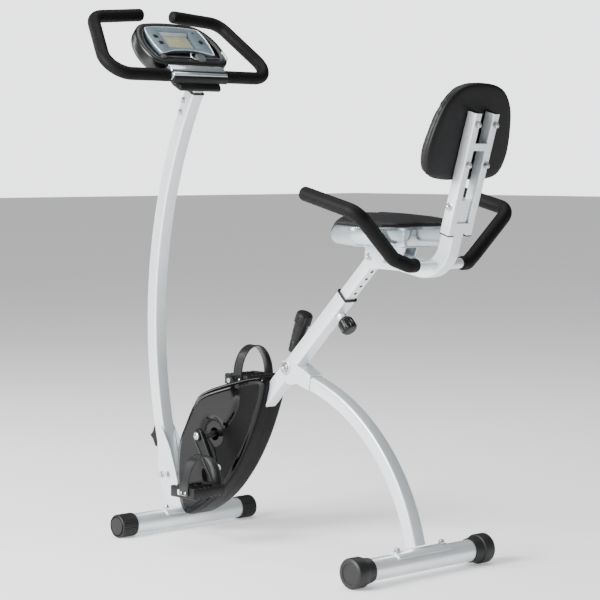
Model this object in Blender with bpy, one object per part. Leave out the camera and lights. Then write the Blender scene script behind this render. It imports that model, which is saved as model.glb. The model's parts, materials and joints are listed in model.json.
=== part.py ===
"""Folding recumbent exercise bike: front post and console, inclined main tube with a cased magnetic
drive, folding rear leg, sliding seat post, padded seat with side handles, and a backrest.

Metres, +Z up. The bike's length runs along X with the console at -X and the backrest at +X; the
rider's left is -Y. Dimensions below are measured from the point halfway between the two foot bars
on the floor, and the empty "bike" shifts them so that the whole bike is centred over the origin."""

import math

import bmesh
import bpy
import numpy as np
from mathutils import Matrix, Vector

MM = 0.001
GAP = 0.0003  # clearance left between pieces that touch
CENTRE_SHIFT = 0.0319  # from the middle of the feet to the middle of the whole bike

# Feet
FOOT_REACH = 0.386  # each foot bar from the middle
FOOT_TUBE_R = 0.024
FOOT_HALF = 0.209  # over the caps
FRONT_CAP_R = 0.0275
REAR_CAP_R = 0.033
FRONT_FOOT_Z = FRONT_CAP_R
REAR_FOOT_Z = REAR_CAP_R

# Frame tubes
TUBE = 0.034  # square tube of post and main tube
WALL = 0.0015
PIVOT = (-0.009, 0.413)  # fold pivot, on the main tube's centre line
MAIN_ANGLE = math.radians(44.3)
MAIN_LOW, MAIN_HIGH = -0.490, 0.243  # the main tube's ends, along it from the pivot
POST_CENTRE = (0.651, 0.484)  # centre of the post's arc
POST_R = 1.142
POST_LOW, POST_HIGH = -21.5, 29.1  # degrees on that arc, below and above the horizontal
STEM_HIGH = 30.2  # the handlebar stem's top, on the same arc
LEG_CENTRE = (-0.055, -0.041)
LEG_R = 0.441
LEG_LOW, LEG_HIGH = 13.4, 78.0  # degrees on that arc, at the foot and at the pivot
LEG_WIDE, LEG_DEEP = 0.034, 0.032
KNOB_ALONG = 0.200  # height knob, along the main tube from the pivot
FOLD_PIN_AT = (-0.032, 0.0)  # fold lock pin, along and above the main tube's centre line

# Drive
CRANK_AT = (-0.240, 0.243)
CRANK_LONG = 0.132
CRANK_ANGLE = math.radians(57.8)  # left crank below the horizontal, towards the rear
CRANK_IN, CRANK_OUT = 0.074, 0.086  # faces of the crank arms, from the centre plane
AXLE_R = 0.0085
SPINDLE_R = 0.006
PEDAL_MID = 0.143  # middle of each pedal, from the centre plane
PEDAL_WIDE, PEDAL_LONG, PEDAL_THICK = 0.095, 0.086, 0.025
FLYWHEEL_ALONG, FLYWHEEL_ABOVE = -0.372, 0.031
FLYWHEEL_R = 0.064
PULLEY_R = 0.058
SMALL_PULLEY_R = 0.012
BELT_Y = (0.0215, 0.0315)
CASE_HALF = 0.040
CASE_WALL = 0.0026

# Seat and backrest
POST_IN = 0.028  # inner seat post
SEAT_POST_LOW, SEAT_POST_HIGH = 0.065, 0.358
BACK_ANGLE = math.radians(73)
BACK_TOP = (0.547, 0.978)  # top of the backrest rails' front faces
RAIL_LONG, RAIL_DEEP = 0.258, 0.026
BACK_MIDDLE = -0.046  # middle of the backrest, from the top of its rails
SIDE_BAR_AT = (0.4365, 0.6625)  # where the side-handle bar crosses the seat frame
SEAT_FLOOR, SEAT_RIM = 0.6985, 0.7405  # underside and upper edge of the seat's pan
SEAT_OUTLINE = [(0.140, 0.0), (0.150, -0.034), (0.190, -0.062), (0.245, -0.092), (0.305, -0.118),
                (0.362, -0.122), (0.398, -0.096), (0.404, -0.058), (0.388, 0.0)]  # its left half, from above

# Handlebar and console
BAR_AT = (-0.345, 1.077)
BAR_R = 0.011
FOAM_R = 0.0150
FACE_ANGLE = math.radians(43.6)  # slope of the console's face
FACE_FOOT = (-0.331, 1.090)  # lower edge of that face

FINISHES = {  # colour, roughness, metallic
    "silver paint": ((0.62, 0.66, 0.69), 0.38, 0.55),
    "zinc": ((0.55, 0.56, 0.57), 0.35, 1.0),
    "black plastic": ((0.015, 0.015, 0.017), 0.45, 0.0),
    "gloss black": ((0.010, 0.010, 0.012), 0.10, 0.0),
    "black foam": ((0.018, 0.018, 0.020), 0.80, 0.0),
    "black vinyl": ((0.020, 0.020, 0.022), 0.55, 0.0),
    "rubber": ((0.020, 0.020, 0.020), 0.70, 0.0),
    "grey plastic": ((0.28, 0.30, 0.32), 0.40, 0.2),
    "lens": ((0.26, 0.26, 0.18), 0.15, 0.0),
    "silver plastic": ((0.60, 0.63, 0.65), 0.30, 0.4),
    "cast iron": ((0.10, 0.10, 0.11), 0.45, 0.8),
}


AXES = {}  # where each empty stands, by name


def clear_scene():
    for obj in list(bpy.data.objects):
        bpy.data.objects.remove(obj, do_unlink=True)


def empty(name, at, parent=None):
    """An empty on a joint's axis, or at the bike's own centre."""
    obj = bpy.data.objects.new(name, None)
    bpy.context.collection.objects.link(obj)
    offset = Vector(AXES[parent.name]) if parent else Vector((0, 0, 0))
    obj.location = Vector(at) - offset
    obj.parent = parent
    AXES[name] = tuple(at)
    return obj


def finish(obj, look):
    colour, roughness, metallic = FINISHES[look]
    material = bpy.data.materials.new(f"{obj.name} {look}")
    material.use_nodes = True
    shader = material.node_tree.nodes["Principled BSDF"]
    shader.inputs["Base Color"].default_value = (*colour, 1)
    shader.inputs["Roughness"].default_value = roughness
    shader.inputs["Metallic"].default_value = metallic
    obj.data.materials.append(material)


def add(name, bm, body, look, smooth=True):
    """Makes bm, built in bike coordinates, an object under the empty of its body."""
    bmesh.ops.recalc_face_normals(bm, faces=bm.faces)
    mesh = bpy.data.meshes.new(name)
    bm.to_mesh(mesh)
    bm.free()
    mesh.transform(Matrix.Translation(-Vector(AXES[body.name])))
    obj = bpy.data.objects.new(name, mesh)
    bpy.context.collection.objects.link(obj)
    obj.parent = body
    finish(obj, look)
    if smooth:
        mesh.shade_smooth()
        mesh.set_sharp_from_angle(angle=math.radians(35))
    return obj


def helper(name, bm, body):
    """A cutter or an added shape: not a node, used only by a Boolean."""
    obj = add(name, bm, body, "zinc", smooth=False)
    obj.hide_render = True
    obj.display_type = "WIRE"
    return obj


def combine(obj, other, operation):
    """operation is DIFFERENCE or UNION."""
    modifier = obj.modifiers.new(other.name, "BOOLEAN")
    modifier.operation = operation
    modifier.object = other
    modifier.solver = "EXACT"


def rectangle(wide, deep, corner=0.0, steps=1):
    """A rectangle's outline with rounded corners, anticlockwise."""
    if corner == 0:
        return [(wide / 2, -deep / 2), (wide / 2, deep / 2), (-wide / 2, deep / 2), (-wide / 2, -deep / 2)]
    points = []
    for k, (sx, sy) in enumerate(((1, -1), (1, 1), (-1, 1), (-1, -1))):
        for i in range(steps + 1):
            turn = math.radians(90 * (k - 1) + 90 * i / steps)
            x = sx * (wide / 2 - corner) + corner * math.cos(turn)
            points.append((x, sy * (deep / 2 - corner) + corner * math.sin(turn)))
    return points


def circle(radius, sides):
    turns = [2 * math.pi * i / sides for i in range(sides)]
    return [(radius * math.cos(t), radius * math.sin(t)) for t in turns]


def loops_to_solid(loops, closed_ring=False):
    """Joins loops of equal length into one skin; the two ends are capped, or joined to each other."""
    bm = bmesh.new()
    rings = [[bm.verts.new(p) for p in loop] for loop in loops]
    count = len(rings[0])
    pairs = list(zip(rings, rings[1:]))
    if closed_ring:
        pairs.append((rings[-1], rings[0]))
    for first, second in pairs:
        for i in range(count):
            j = (i + 1) % count
            bm.faces.new((first[i], first[j], second[j], second[i]))
    if not closed_ring:
        bm.faces.new(list(reversed(rings[0])))
        bm.faces.new(rings[-1])
    return bm


def frames(path, side):
    """For each point of a path, the two directions that span its cross-section."""
    points = [Vector(p) for p in path]
    found = []
    across = Vector(side).normalized()
    for i, _ in enumerate(points):
        ahead = points[min(i + 1, len(points) - 1)] - points[max(i - 1, 0)]
        ahead.normalize()
        across = (across - ahead * across.dot(ahead)).normalized()
        found.append((points[i], across, ahead.cross(across)))
    return found


def swept(path, outline, hollow=None, side=(0, 1, 0)):
    """A bar, or with a second outline an open-ended tube, carried along a path."""
    steps = frames(path, side)
    outer = [[at + a * x + b * y for x, y in outline] for at, a, b in steps]
    if hollow is None:
        return loops_to_solid(outer)
    inner = [[at + a * x + b * y for x, y in hollow] for at, a, b in reversed(steps)]
    return loops_to_solid(outer + inner, closed_ring=True)


def square_tube(path, wide, deep, corner=0.004):
    inside = rectangle(wide - 2 * WALL, deep - 2 * WALL, corner - WALL)
    return swept(path, rectangle(wide, deep, corner), inside)


def turned(profile, centre, sides=24, closed=False, first=0.0):
    """A profile of (y, radius) turned about the Y axis through centre (x, z). A radius of 0 ends it."""
    bm = bmesh.new()
    rings = []
    for y, radius in profile:
        if radius == 0:
            rings.append([bm.verts.new((centre[0], y, centre[1]))])
            continue
        turns = [first + 2 * math.pi * i / sides for i in range(sides)]
        around = [(centre[0] + radius * math.cos(t), y, centre[1] + radius * math.sin(t)) for t in turns]
        rings.append([bm.verts.new(point) for point in around])
    pairs = list(zip(rings, rings[1:]))
    if closed:
        pairs.append((rings[-1], rings[0]))
    for first_ring, second in pairs:
        for i in range(sides):
            j = (i + 1) % sides
            corners = [first_ring[i % len(first_ring)], first_ring[j % len(first_ring)]]
            corners += [second[j % len(second)], second[i % len(second)]]
            unique = list(dict.fromkeys(corners))
            bm.faces.new(unique)
    return bm


def washer(y0, y1, outer, inner, centre, sides=24):
    return turned([(y0, inner), (y0, outer), (y1, outer), (y1, inner)], centre, sides, closed=True)


def slab(outline, y0, y1):
    """An outline of (x, z) points given thickness along Y."""
    return loops_to_solid([[(x, y, z) for x, z in outline] for y in (y0, y1)])


def box(low, high):
    (x0, y0, z0), (x1, y1, z1) = low, high
    ring = [(x0, y0), (x1, y0), (x1, y1), (x0, y1)]
    return loops_to_solid([[(x, y, z) for x, y in ring] for z in (z0, z1)])


def drill(name, body, centre, radius, y0, y1, sides=16):
    return helper(name, turned([(y0, 0), (y0, radius), (y1, radius), (y1, 0)], centre, sides), body)


def turned_along(profile, origin, direction, sides=20, closed=False):
    """A profile of (distance, radius) turned about any axis through origin."""
    bm = turned(profile, (0, 0), sides, closed)
    turn = Vector((0, 1, 0)).rotation_difference(Vector(direction)).to_matrix().to_4x4()
    bm.transform(Matrix.Translation(Vector(origin)) @ turn)
    return bm


def along(t, n=0.0):
    """A point (x, z) at t up the main tube from the pivot and n above its centre line."""
    cos, sin = math.cos(MAIN_ANGLE), math.sin(MAIN_ANGLE)
    return (PIVOT[0] + t * cos - n * sin, PIVOT[1] + t * sin + n * cos)


def back(s, n=0.0):
    """A point (x, z) at s up the backrest rails from their top and n behind their front faces."""
    cos, sin = math.cos(BACK_ANGLE), math.sin(BACK_ANGLE)
    return (BACK_TOP[0] + s * cos + n * sin, BACK_TOP[1] + s * sin - n * cos)


def face(s, n=0.0):
    """A point (x, z) at s up the console's face from its lower edge and n out of it."""
    cos, sin = math.cos(FACE_ANGLE), math.sin(FACE_ANGLE)
    return (FACE_FOOT[0] - s * cos + n * sin, FACE_FOOT[1] + s * sin + n * cos)


def flat(point, y=0.0):
    return (point[0], y, point[1])


def arc(centre, radius, low, high, steps, y=0.0):
    """Points on a circle in the plane of symmetry, between two angles in degrees."""
    turns = [math.radians(low + (high - low) * i / steps) for i in range(steps + 1)]
    return [(centre[0] + radius * math.cos(t), y, centre[1] + radius * math.sin(t)) for t in turns]


def rounded_path(corners, radii, steps=5):
    """Straight runs between corners, each corner rounded by an arc of its own radius."""
    points = [Vector(corners[0])]
    for i in range(1, len(corners) - 1):
        before, here, after = (Vector(corners[k]) for k in (i - 1, i, i + 1))
        come, leave = (before - here).normalized(), (after - here).normalized()
        half = come.angle(leave) / 2
        middle = here + (come + leave).normalized() * (radii[i - 1] / math.sin(half))
        reach = radii[i - 1] / math.tan(half)
        start, end = here + come * reach - middle, here + leave * reach - middle
        points += [middle + start.slerp(end, k / steps) * radii[i - 1] for k in range(steps + 1)]
    points.append(Vector(corners[-1]))
    return points


def smooth_outline(points, steps):
    """A closed curve through points, each stretch a cubic between its neighbours' directions."""
    data = np.array(points, float)
    before, after, beyond = np.roll(data, 1, 0), np.roll(data, -1, 0), np.roll(data, -2, 0)
    found = []
    for u in np.linspace(0, 1, steps, endpoint=False):
        found.append(
            0.5 * (2 * data + (after - before) * u + (2 * before - 5 * data + 4 * after - beyond) * u**2
                   + (3 * data - before - 3 * after + beyond) * u**3)
        )
    return [tuple(p) for p in np.stack(found, 1).reshape(-1, 2)]


def inset(outline, distance):
    """The outline moved inwards (its points run anticlockwise) by a distance at every point."""
    data = np.array(outline, float)
    ahead = np.roll(data, -1, 0) - np.roll(data, 1, 0)
    ahead /= np.linalg.norm(ahead, axis=1)[:, None]
    return [tuple(p) for p in data + distance * np.stack([-ahead[:, 1], ahead[:, 0]], 1)]


def layered(outline, layers, place):
    """A stack of insets of one outline, as (inset, height); place turns (a, b, height) into a point."""
    return [[place(a, b, height) for a, b in inset(outline, by)] for by, height in layers]


# ---------------------------------------------------------------- feet


def cap_profile(side, radius, length, tube_r):
    """A rubber end cap: a cup over the tube's end with a rounded rim; its collar is conical when long."""
    end = side * FOOT_HALF
    inner = tube_r + GAP
    points = [(0.0, 0.0), (0.0, radius - 0.004), (0.0015, radius - 0.001), (0.004, radius)]
    if length > 0.05:
        points += [(0.030, radius), (0.033, radius - 0.004), (length, radius - 0.0065)]
    else:
        points += [(length - 0.001, radius), (length, radius - 0.001)]
    points += [(length, inner), (0.006, inner), (0.006, 0.0)]
    return [(end - side * y, r) for y, r in points]


def foot(prefix, x, z, cap_r, cap_long, body):
    ends = FOOT_HALF - 0.006 - GAP
    tube = turned([(-ends, FOOT_TUBE_R), (ends, FOOT_TUBE_R), (ends, FOOT_TUBE_R - WALL),
                   (-ends, FOOT_TUBE_R - WALL)], (x, z), 20, closed=True)
    add(f"{prefix}_foot_tube", tube, body, "silver paint")
    for side, word in ((-1, "left"), (1, "right")):
        profile = cap_profile(side, cap_r, cap_long, FOOT_TUBE_R)
        add(f"{prefix}_foot_cap_{word}", turned(profile, (x, z), 20), body, "rubber")


def saddle(x, z, half, spread, steps=8):
    """A curved plate that wraps the top of a foot tube."""
    inner, outer = FOOT_TUBE_R + GAP, FOOT_TUBE_R + GAP + 0.0028
    top = arc((x, z), outer, 90 - spread, 90 + spread, steps)
    under = arc((x, z), inner, 90 + spread, 90 - spread, steps)
    return slab([(px, pz) for px, _, pz in top + under], -half, half)


def front_bracket(body):
    """Saddle, two cheeks that hold the post between them, and the web behind it, welded into one."""
    plate = add("front_bracket", saddle(-FOOT_REACH, FRONT_FOOT_Z, 0.071, 58), body, "silver paint")
    seam = arc((-FOOT_REACH, FRONT_FOOT_Z), FOOT_TUBE_R + GAP + 0.0014, 145, 70, 5)
    cheek = [(-0.452, 0.241), (-0.4660, 0.200), (-0.4655, 0.150), (-0.4590, 0.105), (-0.4410, 0.074)]
    cheek += [(x, z) for x, _, z in seam]
    cheek += [(-0.3800, 0.0750), (-0.3880, 0.1000), (-0.4010, 0.1400), (-0.4200, 0.190)]
    for side in (-1, 1):
        y0, y1 = side * (TUBE / 2 + GAP), side * (TUBE / 2 + 0.0028)
        word = "left" if side < 0 else "right"
        combine(plate, helper(f"cheek_{word}", slab(cheek, min(y0, y1), max(y0, y1)), body), "UNION")
    web = box((-0.3940, -TUBE / 2 - 0.001, 0.053), (-0.3910, TUBE / 2 + 0.001, 0.092))
    combine(plate, helper("bracket_web", web, body), "UNION")


def ring_of_tube(path, wide, deep, inner_wide, inner_deep):
    return swept(path, rectangle(wide, deep, 0.004), rectangle(inner_wide, inner_deep, 0.003))


# ---------------------------------------------------------------- frame


def post_line(low, high, steps):
    """Points on the post's centre line between two heights, in degrees on its arc."""
    return arc(POST_CENTRE, POST_R, 180 - low, 180 - high, steps)


def post(body):
    """The bent post, the bush in its top and the stem that comes out of it."""
    add("front_post", square_tube(post_line(POST_LOW, POST_HIGH, 12), TUBE, TUBE), body, "silver paint")
    bush = post_line(POST_HIGH + 0.050, POST_HIGH + 0.22, 1)
    add("post_bush", ring_of_tube(bush, 0.035, 0.035, 0.0292, 0.0292), body, "black plastic")
    stem = post_line(POST_HIGH - 4.6, STEM_HIGH, 3)
    add("handlebar_stem", square_tube(stem, 0.028, 0.028), body, "silver paint")


def main_tube(body):
    path = [flat(along(MAIN_LOW)), flat(along(MAIN_HIGH))]
    tube = add("main_tube", square_tube(path, TUBE, TUBE), body, "silver paint")
    combine(tube, drill("pivot_hole", body, PIVOT, 0.0063, -0.03, 0.03, 12), "DIFFERENCE")
    pin_axis = Vector((math.sin(MAIN_ANGLE), 0, -math.cos(MAIN_ANGLE)))
    start = Vector(flat(along(KNOB_ALONG, -0.010)))
    cutter = turned_along([(0, 0), (0, 0.0048), (0.012, 0.0048), (0.012, 0)], start, pin_axis, 12)
    combine(tube, helper("height_pin_hole", cutter, body), "DIFFERENCE")
    cutter = drill("fold_pin_hole", body, along(*FOLD_PIN_AT), 0.0048, 0.012, 0.022, 12)
    combine(tube, cutter, "DIFFERENCE")
    mouth = [flat(along(MAIN_HIGH + GAP)), flat(along(MAIN_HIGH + 0.004))]
    add("sleeve_bush", ring_of_tube(mouth, 0.035, 0.035, 0.0286, 0.0286), body, "black plastic")
    base = Vector(flat(along(KNOB_ALONG, -TUBE / 2 - GAP)))
    collar = [(-0.001, 0.0049), (-0.001, 0.0105), (0.010, 0.0105), (0.012, 0.0090), (0.012, 0.0049)]
    collar = helper("height_collar", turned_along(collar, base, pin_axis, 12, closed=True), body)
    combine(tube, collar, "UNION")


def hinge_bracket(body):
    """Cheeks either side of the main tube, joined by a roof that stops against the tube's underside."""
    cheek = [(-0.0170, 0.4300), (-0.0270, 0.4110), (-0.0240, 0.3930), (-0.0060, 0.3790), (0.0080, 0.3770),
             (0.0280, 0.3810), (0.0640, 0.3690), (0.0700, 0.3980), (0.0340, 0.4200), (0.0080, 0.4300)]
    cheek.reverse()
    plates = []
    for side in (-1, 1):
        y0, y1 = side * (TUBE / 2 + GAP), side * (TUBE / 2 + 0.0033)
        plates.append(slab(cheek, min(y0, y1), max(y0, y1)))
    half = TUBE / 2 + 0.0013
    roof = slab([(0.0340, 0.4170), (0.0340, 0.4200), (0.0700, 0.4025), (0.0692, 0.3990)], -half, half)
    bracket = add("hinge_bracket", plates[0], body, "silver paint", smooth=False)
    combine(bracket, helper("hinge_roof", roof, body), "UNION")
    combine(bracket, helper("hinge_cheek_right", plates[1], body), "UNION")
    combine(bracket, drill("hinge_hole", body, PIVOT, 0.0063, -0.03, 0.03, 12), "DIFFERENCE")
    pin_hole = drill("hinge_pin_hole", body, along(*FOLD_PIN_AT), 0.0048, 0.010, 0.030, 12)
    combine(bracket, pin_hole, "DIFFERENCE")


def rear_leg(body):
    path = arc(LEG_CENTRE, LEG_R, LEG_LOW, LEG_HIGH, 9)
    add("rear_leg", square_tube(path, LEG_WIDE - 0.0004, LEG_DEEP), body, "silver paint")
    add("rear_foot_saddle", saddle(FOOT_REACH, REAR_FOOT_Z, 0.080, 50), body, "silver paint")
    foot("rear", FOOT_REACH, REAR_FOOT_Z, REAR_CAP_R, 0.056, body)
    hinge_bracket(body)


def pivot_bolt(body):
    """Shank, domed head with its washer, and the nut with its washer, as one bolted-up piece."""
    half = TUBE / 2 + 0.0036
    profile = [(-half - 0.0085, 0.0), (-half - 0.0085, 0.005), (-half - 0.006, 0.0085),
               (-half - 0.0020, 0.0090), (-half - 0.0020, 0.0125), (-half, 0.0125), (-half, 0.0060),
               (half, 0.0060), (half, 0.0125), (half + 0.0020, 0.0125), (half + 0.0020, 0.0090),
               (half + 0.0080, 0.0090), (half + 0.0080, 0.0)]
    add("pivot_bolt", turned(profile, PIVOT, 14), body, "zinc")


def fold_pin(body):
    """Sprung pull pin on the right cheek that locks the leg open. Its tip stops short of the main tube."""
    out = TUBE / 2 + 0.0036
    tip = TUBE / 2 + GAP
    profile = [(tip, 0.0), (tip, 0.0045), (out + 0.004, 0.0045), (out + 0.004, 0.0120),
               (out + 0.026, 0.0140), (out + 0.030, 0.0110), (out + 0.030, 0.0)]
    add("fold_lock_pin", turned(profile, along(*FOLD_PIN_AT), 16), body, "black plastic")


def height_knob(body):
    """Sprung pull pin that locks the seat post in one of its holes."""
    axis = Vector((math.sin(MAIN_ANGLE), 0, -math.cos(MAIN_ANGLE)))
    start = Vector(flat(along(KNOB_ALONG, -TUBE / 2 - GAP)))
    profile = [(-0.0022, 0.0), (-0.0022, 0.0045), (0.0125, 0.0045), (0.0125, 0.012), (0.018, 0.0165),
               (0.040, 0.0185), (0.046, 0.0160), (0.046, 0.0)]
    add("height_knob", turned_along(profile, start, axis, 18), body, "black plastic")


# ---------------------------------------------------------------- drive and casing


def drive_mount(wheel_at, body):
    """The crank's and the flywheel's bearing tubes on one foot welded along the main tube's upper face."""
    start, end = tube_coordinates(wheel_at)[0] - 0.012, tube_coordinates(CRANK_AT)[0] + 0.012
    low, high = TUBE / 2 + GAP, TUBE / 2 + 0.0030
    foot_line = [along(start, low), along(end, low), along(end, high), along(start, high)]
    mount = add("drive_mount", slab(foot_line, -0.0138, 0.0138), body, "silver paint")
    for name, centre, half, outer, inner in (("crank", CRANK_AT, 0.0193, 0.0205, 0.0185),
                                             ("flywheel", wheel_at, 0.0145, 0.0125, 0.0100)):
        combine(mount, helper(f"{name}_hub", washer(-half, half, outer, inner, centre, 20), body), "UNION")
        t, n = tube_coordinates(centre)
        corners = [along(t - 0.011, high - 0.001), along(t + 0.011, high - 0.001),
                   along(t + 0.009, n - inner - 0.0008), along(t - 0.009, n - inner - 0.0008)]
        combine(mount, helper(f"{name}_lug", slab(corners, -0.012, 0.012), body), "UNION")


def magnet_bracket(body):
    """A strap on the main tube's left face with the pin that the magnet arm swings on."""
    t, n = tube_coordinates(MAGNET_PIVOT)
    strip = [along(t - 0.007, n - 0.006), along(t + 0.007, n - 0.006), along(t + 0.007, 0.006),
             along(t - 0.007, 0.006)]
    plate = add("magnet_bracket", slab(strip, -0.0187, -TUBE / 2 - GAP), body, "zinc")
    pin = turned([(-0.0362, 0), (-0.0362, 0.0025), (-0.0180, 0.0025), (-0.0180, 0)], MAGNET_PIVOT, 12)
    combine(plate, helper("magnet_pin", pin, body), "UNION")


def tube_coordinates(point):
    """The distance of a point along the main tube from the pivot, and above its centre line."""
    dx, dz = point[0] - PIVOT[0], point[1] - PIVOT[1]
    cos, sin = math.cos(MAIN_ANGLE), math.sin(MAIN_ANGLE)
    return dx * cos + dz * sin, dz * cos - dx * sin


def crank_arm(side, body):
    """A tapered arm from the axle to the pedal spindle, with the spindle screwed into it."""
    word = "left" if side < 0 else "right"
    lean = CRANK_ANGLE if side < 0 else CRANK_ANGLE + math.pi
    end = (CRANK_AT[0] + CRANK_LONG * math.cos(lean), CRANK_AT[1] - CRANK_LONG * math.sin(lean))
    outline = []
    for centre, radius, start in ((CRANK_AT, 0.0165, math.pi / 2), (end, 0.0115, -math.pi / 2)):
        for i in range(9):
            turn = -lean + start + math.pi * i / 8
            outline.append((centre[0] + radius * math.cos(turn), centre[1] + radius * math.sin(turn)))
    y0, y1 = sorted((side * CRANK_IN, side * CRANK_OUT))
    arm = add(f"crank_{word}", slab(outline, y0, y1), body, "black plastic")
    low, high = sorted((side * 0.06, side * 0.10))
    combine(arm, drill(f"crank_{word}_bore", body, CRANK_AT, AXLE_R + GAP, low, high), "DIFFERENCE")
    reach = sorted((side * (CRANK_OUT - 0.004), side * (CRANK_OUT + 0.084)))
    profile = [(reach[0], 0.0), (reach[0], SPINDLE_R), (reach[1], SPINDLE_R), (reach[1], 0.0)]
    combine(arm, helper(f"spindle_{word}", turned(profile, end, 12), body), "UNION")
    return end


def pedal(side, centre, body):
    """A moulded platform with two windows, turning on the crank's spindle."""
    word = "left" if side < 0 else "right"
    y0, y1 = sorted((side * (PEDAL_MID - PEDAL_WIDE / 2), side * (PEDAL_MID + PEDAL_WIDE / 2)))
    outline = [(centre[0] + a, centre[1] + b) for a, b in rectangle(PEDAL_LONG, PEDAL_THICK, 0.006, 3)]
    block = add(f"pedal_{word}", slab(outline, y0, y1), body, "black plastic")
    for k, offset in enumerate((-0.0245, 0.0245)):
        low = (centre[0] + offset - 0.0115, y0 + 0.012, centre[1] - 0.02)
        high = (centre[0] + offset + 0.0115, y1 - 0.012, centre[1] + 0.02)
        combine(block, helper(f"pedal_{word}_window_{k}", box(low, high), body), "DIFFERENCE")
    deep = sorted((side * (PEDAL_MID - PEDAL_WIDE / 2 - 0.01), side * (CRANK_OUT + 0.0855)))
    bore = drill(f"pedal_{word}_bore", body, centre, SPINDLE_R + GAP, deep[0], deep[1], 12)
    combine(block, bore, "DIFFERENCE")
    add(f"pedal_strap_{word}", strap(centre, y0, y1), body, "rubber")


def strap(centre, y0, y1):
    """A flat band that arches over the foot from one side of the pedal to the other."""
    middle, reach = (y0 + y1) / 2, (y1 - y0) / 2 + 0.0025
    turns = [math.pi * i / 16 for i in range(17)]
    path = [(centre[0] + 0.010, middle + reach * math.cos(t), centre[1] + 0.0085 + 0.072 * math.sin(t))
            for t in turns]
    return swept(path, rectangle(0.030, 0.003), side=(1, 0, 0))


def belt_outline(offset):
    """The closed path of the belt round both pulleys, offset from their running surfaces."""
    big, small = Vector(CRANK_AT), Vector(along(FLYWHEEL_ALONG, FLYWHEEL_ABOVE))
    line = small - big
    heading = math.atan2(line.y, line.x)
    lean = math.acos((PULLEY_R - SMALL_PULLEY_R) / line.length)
    points = []
    for centre, radius, start, span, steps in ((big, PULLEY_R, lean, 2 * math.pi - 2 * lean, 18),
                                               (small, SMALL_PULLEY_R, -lean, 2 * lean, 8)):
        clear = (radius + offset) / math.cos(span / steps / 2)  # so that the chords clear the pulley
        for k in range(steps + 1):
            turn = heading + start + span * k / steps
            points.append((centre.x + clear * math.cos(turn), centre.y + clear * math.sin(turn)))
    return points


def drive(root, crank, wheel, magnet):
    wheel_at = along(FLYWHEEL_ALONG, FLYWHEEL_ABOVE)
    drive_mount(wheel_at, root)
    magnet_bracket(root)
    for side, word in ((-1, "left"), (1, "right")):
        y0, y1 = sorted((side * 0.0085, side * 0.0185))
        add(f"crank_bearing_{word}", washer(y0, y1, 0.0185 - GAP, AXLE_R + GAP, CRANK_AT, 20), root, "zinc")
    end = CRANK_OUT + 0.0012
    profile = [(-end, 0), (-end, AXLE_R), (end, AXLE_R), (end, 0)]
    add("crank_axle", turned(profile, CRANK_AT, 16), crank, "zinc")
    y0, y1 = BELT_Y
    rim, web = PULLEY_R - GAP, 0.014
    profile = [(y0 - 0.0015, AXLE_R + GAP), (y0 - 0.0015, web), (y0 + 0.003, web + 0.003),
               (y0 + 0.003, rim - 0.006), (y0 - 0.0015, rim - 0.004), (y0 - 0.0015, rim), (y1 + 0.001, rim),
               (y1 + 0.001, rim - 0.004), (y0 + 0.006, rim - 0.006), (y0 + 0.006, web + 0.003),
               (y1 + 0.001, web), (y1 + 0.001, AXLE_R + GAP)]
    add("drive_pulley", turned(profile, CRANK_AT, 28, closed=True), crank, "grey plastic")
    profile = [(-0.0365, 0.0), (-0.0365, 0.005), (0.0195, 0.005), (0.0195, SMALL_PULLEY_R - GAP),
               (y1 + 0.001, SMALL_PULLEY_R - GAP), (y1 + 0.001, 0.0)]
    add("flywheel_axle", turned(profile, wheel_at, 16), wheel, "zinc")
    profile = [(-0.0185, 0.0053), (-0.0185, 0.016), (-0.0225, 0.020), (-0.0225, FLYWHEEL_R - 0.016),
               (-0.0190, FLYWHEEL_R - 0.012), (-0.0190, FLYWHEEL_R), (-0.0340, FLYWHEEL_R),
               (-0.0340, FLYWHEEL_R - 0.012), (-0.0300, FLYWHEEL_R - 0.016), (-0.0300, 0.020),
               (-0.0340, 0.016), (-0.0340, 0.0053)]
    add("flywheel", turned(profile, wheel_at, 28, closed=True), wheel, "cast iron")
    outer, inner = belt_outline(0.0030), belt_outline(0.0)
    loops = [[(x, y, z) for x, z in line] for line, y in ((outer, y0), (outer, y1), (inner, y1), (inner, y0))]
    add("drive_belt", loops_to_solid(loops, closed_ring=True), root, "rubber")
    arm = arc(wheel_at, FLYWHEEL_R + 0.0115, -88, -12, 9) + arc(wheel_at, FLYWHEEL_R + 0.0030, -12, -88, 9)
    plate = add("magnet_arm", slab([(x, z) for x, _, z in arm], -0.0335, -0.0195), magnet, "zinc")
    ear = slab([(x, z) for x, _, z in arc(MAGNET_PIVOT, 0.0075, 0, 337.5, 15)], -0.0335, -0.0195)
    combine(plate, helper("magnet_ear", ear, magnet), "UNION")
    combine(plate, drill("magnet_bore", magnet, MAGNET_PIVOT, 0.0028, -0.040, -0.010, 12), "DIFFERENCE")


MAGNET_PIVOT = tuple(
    a + b for a, b in zip(along(FLYWHEEL_ALONG, FLYWHEEL_ABOVE),
                          (0.0725 * math.cos(math.radians(-8)), 0.0725 * math.sin(math.radians(-8))))
)


def case_outline():
    """The casing's side view: a shield that leans along the main tube, anticlockwise."""
    return smooth_outline(
        [(-0.282, 0.337), (-0.314, 0.308), (-0.346, 0.256), (-0.369, 0.210), (-0.378, 0.144), (-0.374, 0.088),
         (-0.356, 0.049), (-0.328, 0.042), (-0.270, 0.070), (-0.215, 0.112), (-0.163, 0.170), (-0.122, 0.232),
         (-0.095, 0.286), (-0.072, 0.345), (-0.068, 0.385), (-0.110, 0.385), (-0.195, 0.365)], 2)


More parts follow.
